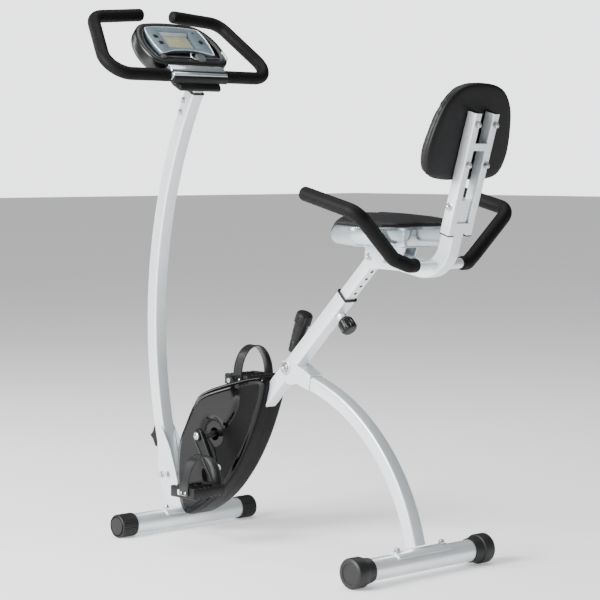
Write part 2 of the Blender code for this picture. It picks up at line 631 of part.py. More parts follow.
def casing(root):
    outline = case_outline()
    wall = CASE_WALL
    outside = [(0.0, GAP / 2), (0.0, 0.029), (0.0035, 0.0365), (0.011, CASE_HALF)]
    inside = [(0.011, CASE_HALF - wall), (0.0052, 0.0350), (wall, 0.028), (wall, GAP / 2)]
    slot = [flat(along(-0.60)), flat(along(0.10))]
    for side, word in ((-1, "left"), (1, "right")):
        loops = layered(outline, outside, lambda a, b, h: (a, side * h, b))
        core = layered(outline, inside, lambda a, b, h: (a, side * h, b))
        shell = add(f"casing_{word}", tray(loops, core), root, "gloss black")
        bar = swept(slot, rectangle(TUBE + 2 * GAP, TUBE + 2 * GAP))
        combine(shell, helper(f"casing_slot_{word}", bar, root), "DIFFERENCE")
        y0, y1 = sorted((side * 0.030, side * 0.050))
        combine(shell, drill(f"casing_hole_{word}", root, CRANK_AT, 0.0135, y0, y1, 20), "DIFFERENCE")


def tray(outer, inner):
    """An open shell: outer loops from the rim to a closed floor, inner loops from its floor to the rim."""
    bm = bmesh.new()
    rings = [[bm.verts.new(p) for p in loop] for loop in outer + inner]
    count, floor = len(rings[0]), len(outer)
    for k in [i for i in range(len(rings)) if i != floor - 1]:
        first, second = rings[k], rings[(k + 1) % len(rings)]
        for i in range(count):
            j = (i + 1) % count
            bm.faces.new((first[i], first[j], second[j], second[i]))
    bm.faces.new(rings[floor - 1])
    bm.faces.new(rings[floor])
    return bm


def tension(root, knob):
    """Resistance control: a housing on the main tube's upper face and the knob that turns on it."""
    base = Vector((-0.0085, 0, 0.447))
    axis = Vector((math.sin(math.radians(25)), 0, math.cos(math.radians(25))))
    profile = [(0.0, 0.0), (0.0, 0.0108), (0.074, 0.0168), (0.074, 0.0)]
    housing = add("tension_housing", turned_along(profile, base, axis, 16), root, "black plastic")
    keep_out = swept([flat(along(-0.1, 0.0)), flat(along(0.2, 0.0))],
                     rectangle(TUBE + 2 * GAP, TUBE + 2 * GAP))
    combine(housing, helper("tension_cut", keep_out, root), "DIFFERENCE")
    profile = [(0.0745, 0.0), (0.0745, 0.0180), (0.077, 0.0192), (0.096, 0.0192), (0.1015, 0.0165),
               (0.102, 0.0)]
    add("tension_knob", turned_along(profile, base, axis, 20), knob, "black plastic")
    return base, axis


# ---------------------------------------------------------------- seat


def seat_frame(body):
    """Bent tube under the seat that rises behind it to carry the backrest."""
    start = (0.2715, 0, 0.6746)
    up = [flat(back(-0.184, 0.004)), flat(back(-0.3502, 0.004))]
    path = rounded_path([start, up[1], up[0]], [0.062], 6)
    tube = add("seat_frame", square_tube(path, 0.032, 0.036), body, "silver paint")
    combine(tube, drill("side_bar_hole", body, SIDE_BAR_AT, BAR_R + GAP, -0.03, 0.03, 16), "DIFFERENCE")
    post_path = [flat(along(SEAT_POST_LOW)), flat(along(SEAT_POST_HIGH))]
    add("seat_post", square_tube(post_path, POST_IN, POST_IN, 0.003), body, "silver paint")
    cheek = [(0.238, 0.6560), (0.2480, 0.6440), (0.2700, 0.6480), (0.3400, 0.6460), (0.3600, 0.6960),
             (0.2400, 0.6960)]
    top = box((0.2300, -0.045, 0.6950), (0.3700, 0.045, 0.6980))
    bracket = add("seat_bracket", top, body, "silver paint", smooth=False)
    for side in (-1, 1):
        y0, y1 = sorted((side * (0.016 + GAP), side * 0.0188))
        word = "left" if side < 0 else "right"
        combine(bracket, helper(f"seat_cheek_{word}", slab(cheek, y0, y1), body), "UNION")


def seat_plan(steps=2):
    """The saddle seen from above, anticlockwise: a nose in front, two lobes and a notch behind."""
    mirrored = [(x, -y) for x, y in reversed(SEAT_OUTLINE[1:-1])]
    return smooth_outline(SEAT_OUTLINE + mirrored, steps)


def seat_point(x, y, z):
    """A point of the seat with the nose's dip, full at the pan's rim and none at its floor, and the
    slope of the cushion's top, which is highest in front."""
    share = min(1.0, max(0.0, (z - SEAT_FLOOR) / (SEAT_RIM - SEAT_FLOOR)))
    crown = max(0.0, (z - SEAT_RIM) / 0.026)
    return (x, y, z - 0.030 * share * max(0.0, (0.205 - x) / 0.065) ** 2 + crown * 0.08 * (0.27 - x))


def seat(body):
    """A moulded pan, open above, and the cushion that closes it."""
    plan = seat_plan()
    outer = layered(plan, [(0.002, SEAT_RIM), (0.0, 0.734), (0.005, 0.708), (0.016, SEAT_FLOOR)], seat_point)
    inner = layered(plan, [(0.019, SEAT_FLOOR + 0.003), (0.0085, 0.710), (0.0045, 0.733), (0.0055, SEAT_RIM)],
                    seat_point)
    add("seat_pan", tray(outer, inner), body, "silver plastic")
    layers = [(0.026, SEAT_RIM + 0.0005), (0.006, SEAT_RIM + 0.0005), (0.003, 0.7480), (0.005, 0.7580),
              (0.013, 0.7640), (0.026, 0.7665)]
    loops = layered(plan, layers, seat_point)
    add("seat_pad", loops_to_solid(loops), body, "black vinyl")


def side_handles(body):
    """One bent bar through the seat frame, with a foam grip on each side."""
    x, z = SIDE_BAR_AT
    half = [(x, 0.088, z), (x - 0.012, 0.122, z + 0.014), (0.430, 0.2300, 0.772), (0.274, 0.2300, 0.810)]
    mirrored = [(px, -py, pz) for px, py, pz in reversed(half)]
    path = rounded_path(mirrored + half, [0.030, 0.020, 0.020, 0.020, 0.020, 0.030], 2)
    add("side_handle_bar", swept(path, circle(BAR_R, 8), circle(BAR_R - 0.002, 8), side=(0, 0, 1)), body,
        "silver paint")
    for side, word in ((-1, "left"), (1, "right")):
        end = Vector(half[-1]) - Vector(half[-2])
        tip = Vector(half[-1]) + end.normalized() * 0.004
        corners = [(x, side * 0.066, z)] + [(px, side * py, pz) for px, py, pz in half[:-1]]
        corners.append((tip.x, side * tip.y, tip.z))
        grip = rounded_path(corners, [0.020, 0.020, 0.030], 2)
        foam = swept(grip, circle(0.0140, 8), circle(0.0123, 8), side=(0, 0, 1))
        add(f"side_grip_{word}", foam, body, "black foam")


def backrest(body):
    """Two rails with a crossbar and a lower plate, a moulded shell on them, and the pad in front."""
    left, right = [
        square_tube([(*back(-RAIL_LONG, RAIL_DEEP / 2)[:1], y, back(-RAIL_LONG, RAIL_DEEP / 2)[1]),
                     (back(0, RAIL_DEEP / 2)[0], y, back(0, RAIL_DEEP / 2)[1])], 0.0185, RAIL_DEEP, 0.003)
        for y in (-0.02675, 0.02675)
    ]
    frame = add("back_frame", left, body, "silver paint")
    combine(frame, helper("back_rail_right", right, body), "UNION")
    near, far = 0.0235, 0.0270
    for name, low, high in (("back_crossbar", -0.077, -0.062), ("back_low_plate", -0.254, -0.232)):
        outline = [back(low, near), back(low, far), back(high, far), back(high, near)]
        combine(frame, helper(name, slab(outline, -0.0190, 0.0190), body), "UNION")
    outline = smooth_outline(
        [(0.0, 0.102), (-0.060, 0.092), (-0.096, 0.058), (-0.114, 0.006), (-0.120, -0.050), (-0.104, -0.090),
         (-0.060, -0.102), (0.0, -0.102), (0.060, -0.102), (0.104, -0.090), (0.120, -0.050), (0.114, 0.006),
         (0.096, 0.058), (0.060, 0.092)], 2)
    outline = [(y, s + BACK_MIDDLE) for y, s in outline]
    place = lambda y, s, h: (back(s, h)[0], y, back(s, h)[1])
    layers = [(0.010, -GAP), (0.0015, -0.0030), (0.0, -0.0085)]
    add("back_shell", loops_to_solid(layered(outline, layers, place)), body, "black plastic")
    layers = [(0.004, -0.0088), (-0.001, -0.0140), (0.001, -0.0290), (0.012, -0.0370), (0.034, -0.0410)]
    add("back_pad", loops_to_solid(layered(outline, layers, place)), body, "black vinyl")


# ---------------------------------------------------------------- handlebar and console


def handlebar(body):
    """A bent bar whose horns rise forward and turn in, with a foam grip on each side."""
    x, z = BAR_AT
    half = [(x, 0.258, z), (-0.4855, 0.193, 1.2135), (-0.4870, 0.050, 1.2245)]
    mirrored = [(px, -py, pz) for px, py, pz in reversed(half)]
    path = rounded_path(mirrored + half, [0.040, 0.050, 0.050, 0.040], 3)
    bar = swept(path, circle(BAR_R, 10), circle(BAR_R - 0.002, 10), side=(0, 0, 1))
    add("handlebar", bar, body, "silver paint")
    for side, word in ((-1, "left"), (1, "right")):
        end = (Vector(half[-1]) - Vector(half[-2])).normalized()
        tip = Vector(half[-1]) + end * 0.004
        corners = [(x, side * 0.084, z)] + [(px, side * py, pz) for px, py, pz in half[:-1]]
        corners.append((tip.x, side * tip.y, tip.z))
        grip = rounded_path(corners, [0.050, 0.040], 3)
        foam = swept(grip, circle(FOAM_R, 10), circle(0.0120, 10), side=(0, 0, 1))
        add(f"handlebar_grip_{word}", foam, body, "black foam")


def clamps(body):
    """The block on the stem that carries the bar, and the cover that closes over it."""
    low = [face(s, n) for s, n in ((-0.027, -0.0190), (-0.0375, -0.0245), (-0.0385, -0.0320),
                                   (-0.006, -0.0420), (0.006, -0.0420), (0.0165, -0.0300), (0.0165, -0.0190))]
    lower = add("clamp_lower", slab(low, -0.062, 0.062), body, "black plastic", smooth=False)
    high = [face(s, n) for s, n in ((-0.025, -0.0185), (0.0165, -0.0185), (0.0165, -0.0050), (0.0130, 0.0010),
                                    (0.0040, 0.0020), (-0.0130, 0.0010), (-0.0230, -0.0060))]
    upper = add("clamp_cover", slab(high, -0.082, 0.082), body, "silver plastic", smooth=False)
    for name, block in (("lower", lower), ("upper", upper)):
        combine(block, drill(f"clamp_{name}_groove", body, BAR_AT, BAR_R + GAP, -0.1, 0.1, 16), "DIFFERENCE")
    socket = swept(post_line(POST_HIGH - 0.5, STEM_HIGH + 0.05, 2), rectangle(0.0288, 0.0288))
    combine(lower, helper("clamp_socket", socket, body), "DIFFERENCE")


def console_outline(steps):
    """The console seen square to its face: broad and rounded above, narrower where it meets the clamp."""
    right = [(0.060, 0.0190), (0.088, 0.0200), (0.111, 0.0330), (0.122, 0.060), (0.124, 0.088),
             (0.119, 0.115), (0.105, 0.142), (0.083, 0.160), (0.044, 0.1670)]
    return smooth_outline(right + [(0.0, 0.1690)] + [(-y, s) for y, s in reversed(right)], steps)


def console(body, buttons):
    """An open-backed case turned to face the rider, its face plate, the display's lens and the buttons."""
    outline = console_outline(2)
    place = lambda y, s, h: (face(s, h)[0], y, face(s, h)[1])
    outside = [(0.002, 0.0), (0.0, -0.005), (0.0, -0.027), (0.008, -0.038), (0.022, -0.044)]
    inside = [(0.0235, -0.0415), (0.0105, -0.0360), (0.0028, -0.0265), (0.0030, 0.0)]
    outer, inner = layered(outline, outside, place), layered(outline, inside, place)
    add("console_case", tray(outer, inner), body, "black plastic")
    plate = loops_to_solid(layered(outline, [(0.0034, -0.0060), (0.0034, 0.0010), (0.0050, 0.0020)], place))
    panel = add("console_face", plate, body, "grey plastic")
    window = [(-0.045, 0.076), (0.045, 0.076), (0.045, 0.132), (-0.045, 0.132)]
    cut = [[place(y, s, h) for y, s in window] for h in (-0.004, 0.010)]
    combine(panel, helper("window_cut", loops_to_solid(cut), body), "DIFFERENCE")
    lens = [(y * 0.98, 0.104 + (s - 0.104) * 0.98) for y, s in window]
    glass = loops_to_solid([[place(y, s, h) for y, s in lens] for h in (-0.0036, 0.0002)])
    add("lcd_window", glass, body, "lens")
    for name, (across, up, outline) in BUTTONS.items():
        shape = [(y + across, s + up) for y, s in outline]
        hole = [[place(y, s, h) for y, s in inset(shape, -GAP)] for h in (-0.0035, 0.010)]
        combine(panel, helper(f"{name}_cut", loops_to_solid(hole), body), "DIFFERENCE")
        cap = loops_to_solid([[place(y, s, h) for y, s in shape] for h in (-0.0010, 0.0040)])
        add(name, cap, buttons[name], "black plastic", smooth=False)


BUTTONS = {  # across, up the face, and the outline of each
    "mode_button": (-0.066, 0.112, rectangle(0.013, 0.010, 0.002)),
    "set_button": (-0.062, 0.090, rectangle(0.013, 0.010, 0.002)),
    "reset_button": (0.064, 0.098, circle(0.0065, 14)),
}


def main():
    clear_scene()
    bike = empty("bike", (0, 0, 0))
    crank = empty("crank_axis", flat(CRANK_AT), bike)
    lean = CRANK_ANGLE
    reach = Vector((CRANK_LONG * math.cos(lean), -CRANK_LONG * math.sin(lean)))
    left_at = (CRANK_AT[0] + reach.x, CRANK_AT[1] + reach.y)
    right_at = (CRANK_AT[0] - reach.x, CRANK_AT[1] - reach.y)
    pedals = {
        -1: (left_at, empty("pedal_left_axis", flat(left_at, -PEDAL_MID), crank)),
        1: (right_at, empty("pedal_right_axis", flat(right_at, PEDAL_MID), crank)),
    }
    wheel = empty("flywheel_axis", flat(along(FLYWHEEL_ALONG, FLYWHEEL_ABOVE)), bike)
    magnet = empty("magnet_axis", flat(MAGNET_PIVOT, -0.0265), bike)
    leg = empty("rear_leg_axis", flat(PIVOT), bike)
    seat_slide = empty("seat_slide_axis", flat(along(SEAT_POST_HIGH)), bike)
    knob = empty("height_knob_axis", flat(along(KNOB_ALONG, -TUBE / 2)), bike)
    lock = empty("fold_pin_axis", flat(along(*FOLD_PIN_AT), TUBE / 2), leg)
    dial = empty("tension_axis", (-0.0085, 0, 0.447), bike)
    buttons = {
        name: empty(f"{name}_axis", (face(up)[0], across, face(up)[1]), bike)
        for name, (across, up, _) in BUTTONS.items()
    }

    foot("front", -FOOT_REACH, FRONT_FOOT_Z, FRONT_CAP_R, 0.046, bike)
    front_bracket(bike)
    post(bike)
    main_tube(bike)
    pivot_bolt(bike)
    rear_leg(leg)
    fold_pin(lock)
    height_knob(knob)
    drive(bike, crank, wheel, magnet)
    for side, (centre, holder) in pedals.items():
        crank_arm(side, crank)
        pedal(side, centre, holder)
    casing(bike)
    tension(bike, dial)
    seat_frame(seat_slide)
    seat(seat_slide)
    side_handles(seat_slide)
    backrest(seat_slide)
    handlebar(bike)
    clamps(bike)
    console(bike, buttons)
    bike.location.x = -CENTRE_SHIFT


main()
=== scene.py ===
"""A folding recumbent exercise bike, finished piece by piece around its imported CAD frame.

Metres, +Z up. The rider faces -X, and the rider's left is -Y."""

import json
import math

import bpy
import numpy as np
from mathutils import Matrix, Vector

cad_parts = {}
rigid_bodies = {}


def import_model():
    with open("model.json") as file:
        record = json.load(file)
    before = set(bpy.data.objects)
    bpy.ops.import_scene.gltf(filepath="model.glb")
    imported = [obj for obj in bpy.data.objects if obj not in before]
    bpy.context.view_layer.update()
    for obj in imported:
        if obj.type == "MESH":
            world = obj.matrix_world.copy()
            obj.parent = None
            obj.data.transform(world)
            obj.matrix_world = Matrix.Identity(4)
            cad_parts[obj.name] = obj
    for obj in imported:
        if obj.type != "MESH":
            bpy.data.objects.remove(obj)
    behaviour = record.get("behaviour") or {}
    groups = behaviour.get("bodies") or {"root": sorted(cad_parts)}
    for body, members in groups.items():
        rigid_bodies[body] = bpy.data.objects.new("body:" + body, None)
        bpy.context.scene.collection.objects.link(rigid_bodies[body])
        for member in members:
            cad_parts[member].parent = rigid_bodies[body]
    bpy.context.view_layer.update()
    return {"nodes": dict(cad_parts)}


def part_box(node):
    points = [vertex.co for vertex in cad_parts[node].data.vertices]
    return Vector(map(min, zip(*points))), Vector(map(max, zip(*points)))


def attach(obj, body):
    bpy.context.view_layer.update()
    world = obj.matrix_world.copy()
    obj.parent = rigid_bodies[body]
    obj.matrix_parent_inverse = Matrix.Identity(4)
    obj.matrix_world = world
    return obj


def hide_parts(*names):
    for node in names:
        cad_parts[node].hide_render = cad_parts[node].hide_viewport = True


for leftover in list(bpy.data.objects):
    bpy.data.objects.remove(leftover)
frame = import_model()

# ---- Camera, floor and lights ----
# A pale studio floor under a large soft key on the rider's left, weak fills behind the seat and ahead of
# the post, and a broad overhead. The backdrop shows bright and gives only a little light of its own.


def linear(colour):
    """Linear RGBA of an sRGB hex colour: c / 12.92 up to 0.04045, ((c + 0.055) / 1.055) ^ 2.4 above."""
    srgb = np.array([int(colour[i:i + 2], 16) for i in (1, 3, 5)]) / 255
    return (*np.where(srgb <= 0.04045, srgb / 12.92, ((srgb + 0.055) / 1.055) ** 2.4).tolist(), 1.0)


def add_node(tree, kind, inputs=None, **settings):
    """Adds a node with its settings; each input is a value or a socket to link from."""
    made = tree.nodes.new(kind)
    for key, value in settings.items():
        setattr(made, key, value)
    for key, value in (inputs or {}).items():
        if isinstance(value, bpy.types.NodeSocket):
            tree.links.new(value, made.inputs[key])
        else:
            made.inputs[key].default_value = value
    return made


def finish(name, slot, light, dark, rough, grain_mm, depth_mm, patch_mm=90, spread=0.05, **constants):
    """A surface whose colour drifts between two close tones in patches, with roughness drifting along
    with it, and a fine relief of its own grain size; constants go on the shader's own sockets."""
    look = bpy.data.materials.new(name)
    look.use_nodes = True
    tree = look.node_tree
    shader = tree.nodes["Principled BSDF"]
    place = add_node(tree, "ShaderNodeTexCoord").outputs["Object"]
    drift = add_node(tree, "ShaderNodeTexNoise", {"Vector": place, "Scale": 1000 / patch_mm, "Detail": 3.0})
    tone = add_node(tree, "ShaderNodeValToRGB", {"Fac": drift.outputs["Fac"]})
    for stop, position, colour in zip(tone.color_ramp.elements, (0.35, 0.65), (dark, light)):
        stop.position, stop.color = position, linear(colour)
    tree.links.new(tone.outputs["Color"], shader.inputs["Base Color"])
    shine = add_node(tree, "ShaderNodeMapRange", {"Value": drift.outputs["Fac"], "From Min": 0.3,
                     "From Max": 0.7, "To Min": rough + spread, "To Max": rough - spread})
    tree.links.new(shine.outputs["Result"], shader.inputs["Roughness"])
    grain = add_node(tree, "ShaderNodeTexNoise", {"Vector": place, "Scale": 1000 / grain_mm, "Detail": 2.0})
    relief = add_node(tree, "ShaderNodeBump", {"Height": grain.outputs["Fac"], "Strength": 0.6,
                      "Distance": depth_mm / 1000})
    tree.links.new(relief.outputs["Normal"], shader.inputs["Normal"])
    for key, value in constants.items():
        shader.inputs[key.replace("_", " ")].default_value = value
    return look


def link(made):
    """Puts an object into the scene and gives it back."""
    bpy.context.scene.collection.objects.link(made)
    return made


camera = link(bpy.data.objects.new("camera", bpy.data.cameras.new("camera")))
camera.data.lens, camera.data.sensor_width = 118.0, 36.0
camera.location = (3.1817, -3.0045, 0.8688)
camera.rotation_euler = (Vector((-0.0156, 0, 0.567)) - camera.location).to_track_quat("-Z", "Y").to_euler()
bpy.context.scene.camera = camera

floor_mesh = bpy.data.meshes.new("floor")
floor_mesh.from_pydata([(-40, -40, 0), (40, -40, 0), (40, 40, 0), (-40, 40, 0)], [], [(0, 1, 2, 3)])
floor_mesh.materials.append(finish("matt white studio paper", None, "#fbfbfb", "#f7f7f7", 0.9, 4, 0.05, 900,
                                   Emission_Color=linear("#ffffff"), Emission_Strength=0.4))
floor = link(bpy.data.objects.new("floor", floor_mesh))

LIGHTS = (  # name, place, aim, width, height, watts
    ("key", (-0.6, -4.2, 2.4), (0, 0, 0.6), 2.4, 2.4, 560),
    ("rear_fill", (3.6, 1.6, 1.8), (0, 0, 0.6), 2.0, 2.4, 9),
    ("front_fill", (-3.6, -0.9, 1.7), (0, 0, 0.7), 0.6, 2.6, 36),
    ("overhead", (0, 0, 4.0), (0, 0, 0), 3.4, 3.4, 100),
)
for name, place, aim, wide, high, watts in LIGHTS:
    light = link(bpy.data.objects.new(name, bpy.data.lights.new(name, "AREA")))
    light.data.shape, light.data.size, light.data.size_y, light.data.energy = "RECTANGLE", wide, high, watts
    light.location = place
    light.rotation_euler = (Vector(aim) - Vector(place)).to_track_quat("-Z", "Y").to_euler()
sky = bpy.data.worlds.new("studio")
sky.use_nodes = True
backdrop = sky.node_tree.nodes["Background"]
backdrop.inputs["Color"].default_value = linear("#f6f8fa")
seen = add_node(sky.node_tree, "ShaderNodeLightPath")
strength = add_node(sky.node_tree, "ShaderNodeMapRange", {"Value": seen.outputs["Is Camera Ray"],
                    "To Min": 0.2, "To Max": 3.0})
sky.node_tree.links.new(strength.outputs["Result"], backdrop.inputs["Strength"])
bpy.context.scene.world = sky

# ---- Front foot ----
# A round steel tube, powder coated silver, that lies across the bike under the console end. Each end is
# closed by a pushed-on cap of black rubber with fine ribs that keep it from rolling on the floor.


def skin(loops, ring=False):
    """A closed shell over rows of points: quads join each row to the next, and a face closes each end,
    or with ring the last row joins the first. Its faces are turned round if its volume is negative."""
    rows, count = loops.shape[:2]
    index = np.arange(rows * count).reshape(rows, count)
    course = np.vstack([index, index[:1]]) if ring else index
    near, far = course[:-1], course[1:]
    quads = np.stack([near, np.roll(near, -1, 1), np.roll(far, -1, 1), far], -1).reshape(-1, 4)
    points = loops.reshape(-1, 3)
    halves = np.concatenate([quads[:, [0, 1, 2]], quads[:, [0, 2, 3]]])
    faces = quads.tolist()
    if not ring:
        fan = np.arange(1, count - 1)
        first = np.stack([np.zeros_like(fan), fan + 1, fan], -1)
        halves = np.concatenate([halves, first, first[:, ::-1] + index[-1, 0]])
        faces += [index[0, ::-1].tolist(), index[-1].tolist()]
    middle = points.mean(0)
    a, b, c = (points[halves[:, k]] - middle for k in range(3))
    if (np.cross(a, b) * c).sum() < 0:
        faces = [face[::-1] for face in faces]
    return points, faces


def together(*shells):
    """Several shells as one mesh: points stacked, and each shell's faces counted on from the last."""
    points, faces, start = [], [], 0
    for found, corners in shells:
        points.append(found)
        faces += [[start + k for k in face] for face in corners]
        start += len(found)
    return np.concatenate(points), faces


def turn(profile, origin, axis, sides=48, ribs=0, rib=0.0):
    """A profile of (distance, radius) rows carried round an axis through origin. With ribs, the radius of
    each row whose third number is 1 goes in and out by rib that many times round."""
    rows = np.array([(*row, 0.0)[:3] for row in profile], float)
    axis = np.array(axis, float) / np.linalg.norm(axis)
    across = np.cross(axis, (0.0, 0.0, 1.0) if abs(axis[2]) < 0.9 else (1.0, 0.0, 0.0))
    across /= np.linalg.norm(across)
    around = np.linspace(0, 2 * np.pi, sides, endpoint=False)
    radius = rows[:, 1, None] + rib * rows[:, 2, None] * np.sign(np.cos(ribs * around)) * (ribs > 0)
    spokes = np.cos(around)[:, None] * across + np.sin(around)[:, None] * np.cross(axis, across)
    loops = np.array(origin, float) + rows[:, 0, None, None] * axis + radius[..., None] * spokes
    return skin(loops)


def piece(name, shell, body, look, stands_for=(), sharp=40):
    """An object of one mesh at the origin, smooth but for edges over a number of degrees, riding on a
    body and standing for the CAD nodes named."""
    mesh = bpy.data.meshes.new(name)
    mesh.from_pydata(shell[0].tolist(), [], shell[1])
    mesh.materials.append(look)
    mesh.shade_smooth()
    mesh.set_sharp_from_angle(angle=math.radians(sharp))
    made = link(bpy.data.objects.new(name, mesh))
    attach(made, body)
    if stands_for:
        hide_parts(*stands_for)
    return made


def carried_over(node, look):
    """A CAD node that stays as it is, in a better finish."""
    mesh = frame["nodes"][node].data
    mesh.materials.clear()
    mesh.materials.append(look)


# Silver powder coat over steel: a satin clear layer over fine flake, cooler in the shade, with the
# faint orange peel of a sprayed coat, drawn at 3 mm so that it shows.
silver_coat = finish("silver powder coat on steel", "silver_paint", "#eef3f6", "#e4ebef", 0.36, 3.0, 0.03,
                     140,
                     Metallic=0.55, Coat_Weight=0.25, Coat_Roughness=0.25)
# Moulded natural rubber: near black, matt, lightly dusty.
cap_rubber = finish("moulded black rubber", "rubber", "#111112", "#0c0c0e", 0.55, 1.6, 0.1, 30)

front_low, front_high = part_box("front_foot_tube")
rear_low, rear_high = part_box("rear_foot_tube")
front_at = np.array((front_low + front_high) / 2)
rear_at = np.array((rear_low + rear_high) / 2)
bar_r = (front_high.z - front_low.z) / 2
across = np.array((0.0, 1.0, 0.0))

sides = ((-1, "left"), (1, "right"))

bar_profile = [(-0.2025, bar_r), (0.2025, bar_r)]
piece("front_foot_bar", turn(bar_profile, front_at, across, 64), "frame", silver_coat,
      ["front_foot_tube"])
for side, word in sides:
    profile = [(0.209, 0.0195), (0.2085, 0.0205), (0.2045, 0.021), (0.2045, 0.0235), (0.2086, 0.024),
               (0.207, 0.0262), (0.205, 0.0268, 1), (0.166, 0.0268, 1), (0.165, 0.0272),
               (0.1634, 0.027), (0.163, 0.0258), (0.1632, 0.0242)]
    piece(f"front_foot_ribbed_cap_{word}", turn(profile, front_at, side * across, 144, 36, 0.0006), "frame",
          cap_rubber, [f"front_foot_cap_{word}"], 25)

# ---- Front bracket ----
# Pressed steel saddle with two cheeks that hold the post's foot, welded and coated with the frame. Two
# zinc bolts with domed nuts go through cheeks and post, and a black rest for folding sits on its front.

# Zinc-plated steel: pale grey metal with a soft sheen from the drum it is tumbled in.
zinc = finish("zinc-plated steel", "zinc", "#c9cccd", "#b3b7b9", 0.28, 0.8, 0.02, 12, Metallic=1.0)
# Satin black moulded ABS with a spark-eroded grain.
black_abs = finish("satin black moulded ABS", "black_plastic", "#080808", "#060607", 0.4, 0.9, 0.04, 60,
                   Specular_IOR_Level=0.3)

feet_middle = (front_at[0] + rear_at[0]) / 2
tube_half = 0.017


def at(x, z, y=0.0):
    """A point from its distance ahead of the middle of the feet, its height, and its place across."""
    return np.stack(np.broadcast_arrays(feet_middle + np.asarray(x, float), y, z), -1).astype(float)


def bolt(origin, axis, size, washer=1.25, tall=1.0):
    """A washer, a hexagon and a domed end in line on one axis; size is the hexagon's half width."""
    disc = turn([(0, size * washer), (size * 0.22, size * washer), (size * 0.24, size * washer * 0.96)],
                origin, axis, 32)
    hexagon = turn([(size * 0.2, size), (size * 0.85 * tall, size), (size * 0.95 * tall, size * 0.93)],
                   origin, axis, 6)
    bend = np.linspace(0, np.pi / 2 * 0.93, 6)
    dome = [(size * (0.9 * tall + 0.55 * math.sin(b)), size * 0.8 * math.cos(b)) for b in bend]
    return together(disc, hexagon, turn(dome, origin, axis, 24))


carried_over("front_bracket", silver_coat)
fixings = [bolt(at(x, z, side * 0.0198), side * across, 0.0062)
           for side in (-1, 1) for x, z in ((-0.45, 0.122), (-0.426, 0.125))]
fixings += [bolt(at(-0.386, 0.0545, y), (0, 0, 1), 0.0052) for y in (-0.058, 0.058)]
piece("front_bracket_bolts", together(*fixings), "frame", zinc)

# ---- Front post ----
# One length of square steel tube drawn to a long even arc, with rounded corners and a satin silver
# coat. A black plastic bush lines its mouth and two bolts through its top clamp the handlebar stem.


def rounded(wide, deep, corner, steps=5):
    """A rectangle's outline whose corners are quarter circles, anticlockwise, as an array of (a, b)."""
    turns = np.concatenate([np.linspace(k, k + 1, steps + 1) for k in range(-1, 3)]) * np.pi / 2
    signs = np.repeat([(1, -1), (1, 1), (-1, 1), (-1, -1)], steps + 1, 0)
    middle = signs * (wide / 2 - corner, deep / 2 - corner)
    return middle + corner * np.stack([np.cos(turns), np.sin(turns)], -1)


def circle(radius, sides=32):
    """Points evenly round a circle about (0, 0), anticlockwise."""
    turns = np.linspace(0, 2 * np.pi, sides, endpoint=False)
    return radius * np.stack([np.cos(turns), np.sin(turns)], -1)


def carry(path, outline, side=(0.0, 1.0, 0.0), size=1.0, ring=False):
    """An outline carried square to a path: its first number is laid along the side direction made
    square to the path, its second across both, and size is a number or one number per point."""
    path = np.asarray(path, float)
    ahead = np.gradient(path, axis=0)
    ahead /= np.linalg.norm(ahead, axis=1)[:, None]
    first = np.array(side, float) - ahead * (ahead @ np.array(side, float))[:, None]
    first /= np.linalg.norm(first, axis=1)[:, None]
    second = np.cross(ahead, first)
    size = np.broadcast_to(size, len(path))[:, None, None]
    a, b = outline[None, :, 0, None], outline[None, :, 1, None]
    return skin(path[:, None] + size * (a * first[:, None] + b * second[:, None]), ring)


def arc(centre, radius, low, high, count):
    """Points at a radius from centre (x, z), between two angles in degrees."""
    turns = np.radians(np.linspace(low, high, count))
    return at(centre[0] + radius * np.cos(turns), centre[1] + radius * np.sin(turns))


post_arc = ((0.651, 0.484), 1.142)
post_path = arc(*post_arc, 180 + 21.5, 180 - 29.1, 90)
piece("bent_front_post", carry(post_path, rounded(0.034, 0.034, 0.0042)), "frame", silver_coat,
      ["front_post"])
piece("post_mouth_bush", carry(arc(*post_arc, 180 - 29.13, 180 - 29.32, 3), rounded(0.0372, 0.0372, 0.005)),
      "frame", black_abs, ["post_bush"])
piece("bent_stem", carry(arc(*post_arc, 180 - 28.0, 180 - 30.15, 8), rounded(0.0278, 0.0278, 0.003)), "frame",
      silver_coat, ["handlebar_stem"])
fixings = [bolt(at(x, z, side * tube_half), side * across, 0.006)
           for side in (-1, 1) for x, z in ((-0.365, 1.021), (-0.376, 0.993))]
piece("post_clamp_bolts", together(*fixings), "frame", zinc)

# The folding rest: a black moulding screwed to the post's front that the folded leg meets.
rest_side = at(np.array((-0.474, -0.489, -0.497, -0.508, -0.497, -0.488, -0.474)),
               np.array((0.243, 0.241, 0.221, 0.212, 0.203, 0.186, 0.184)))
rest = piece("folding_rest", skin(np.stack([rest_side + across * y for y in (-0.011, 0.011)])), "frame",
             black_abs, sharp=30)


def soften(made, width, segments=3, angle=35):
    """A Bevel on edges sharper than an angle."""
    edge = made.modifiers.new("rounded edges", "BEVEL")
    edge.width, edge.segments = width, segments
    edge.limit_method, edge.angle_limit = "ANGLE", math.radians(angle)
    return made


soften(rest, 0.003)

# ---- Main tube ----
# The straight square tube from the drive up to the seat, coated silver, with a black bush in its mouth
# for the sliding seat post and a welded collar underneath for the height pin.
pivot = (-0.009, 0.413)
slope = math.radians(44.3)


def along(t, n=0.0, y=0.0):
    """A point t up the main tube from its pivot, n above its centre line."""
    t, n = np.asarray(t, float), np.asarray(n, float)
    return at(pivot[0] + t * math.cos(slope) - n * math.sin(slope),
              pivot[1] + t * math.sin(slope) + n * math.cos(slope), y)


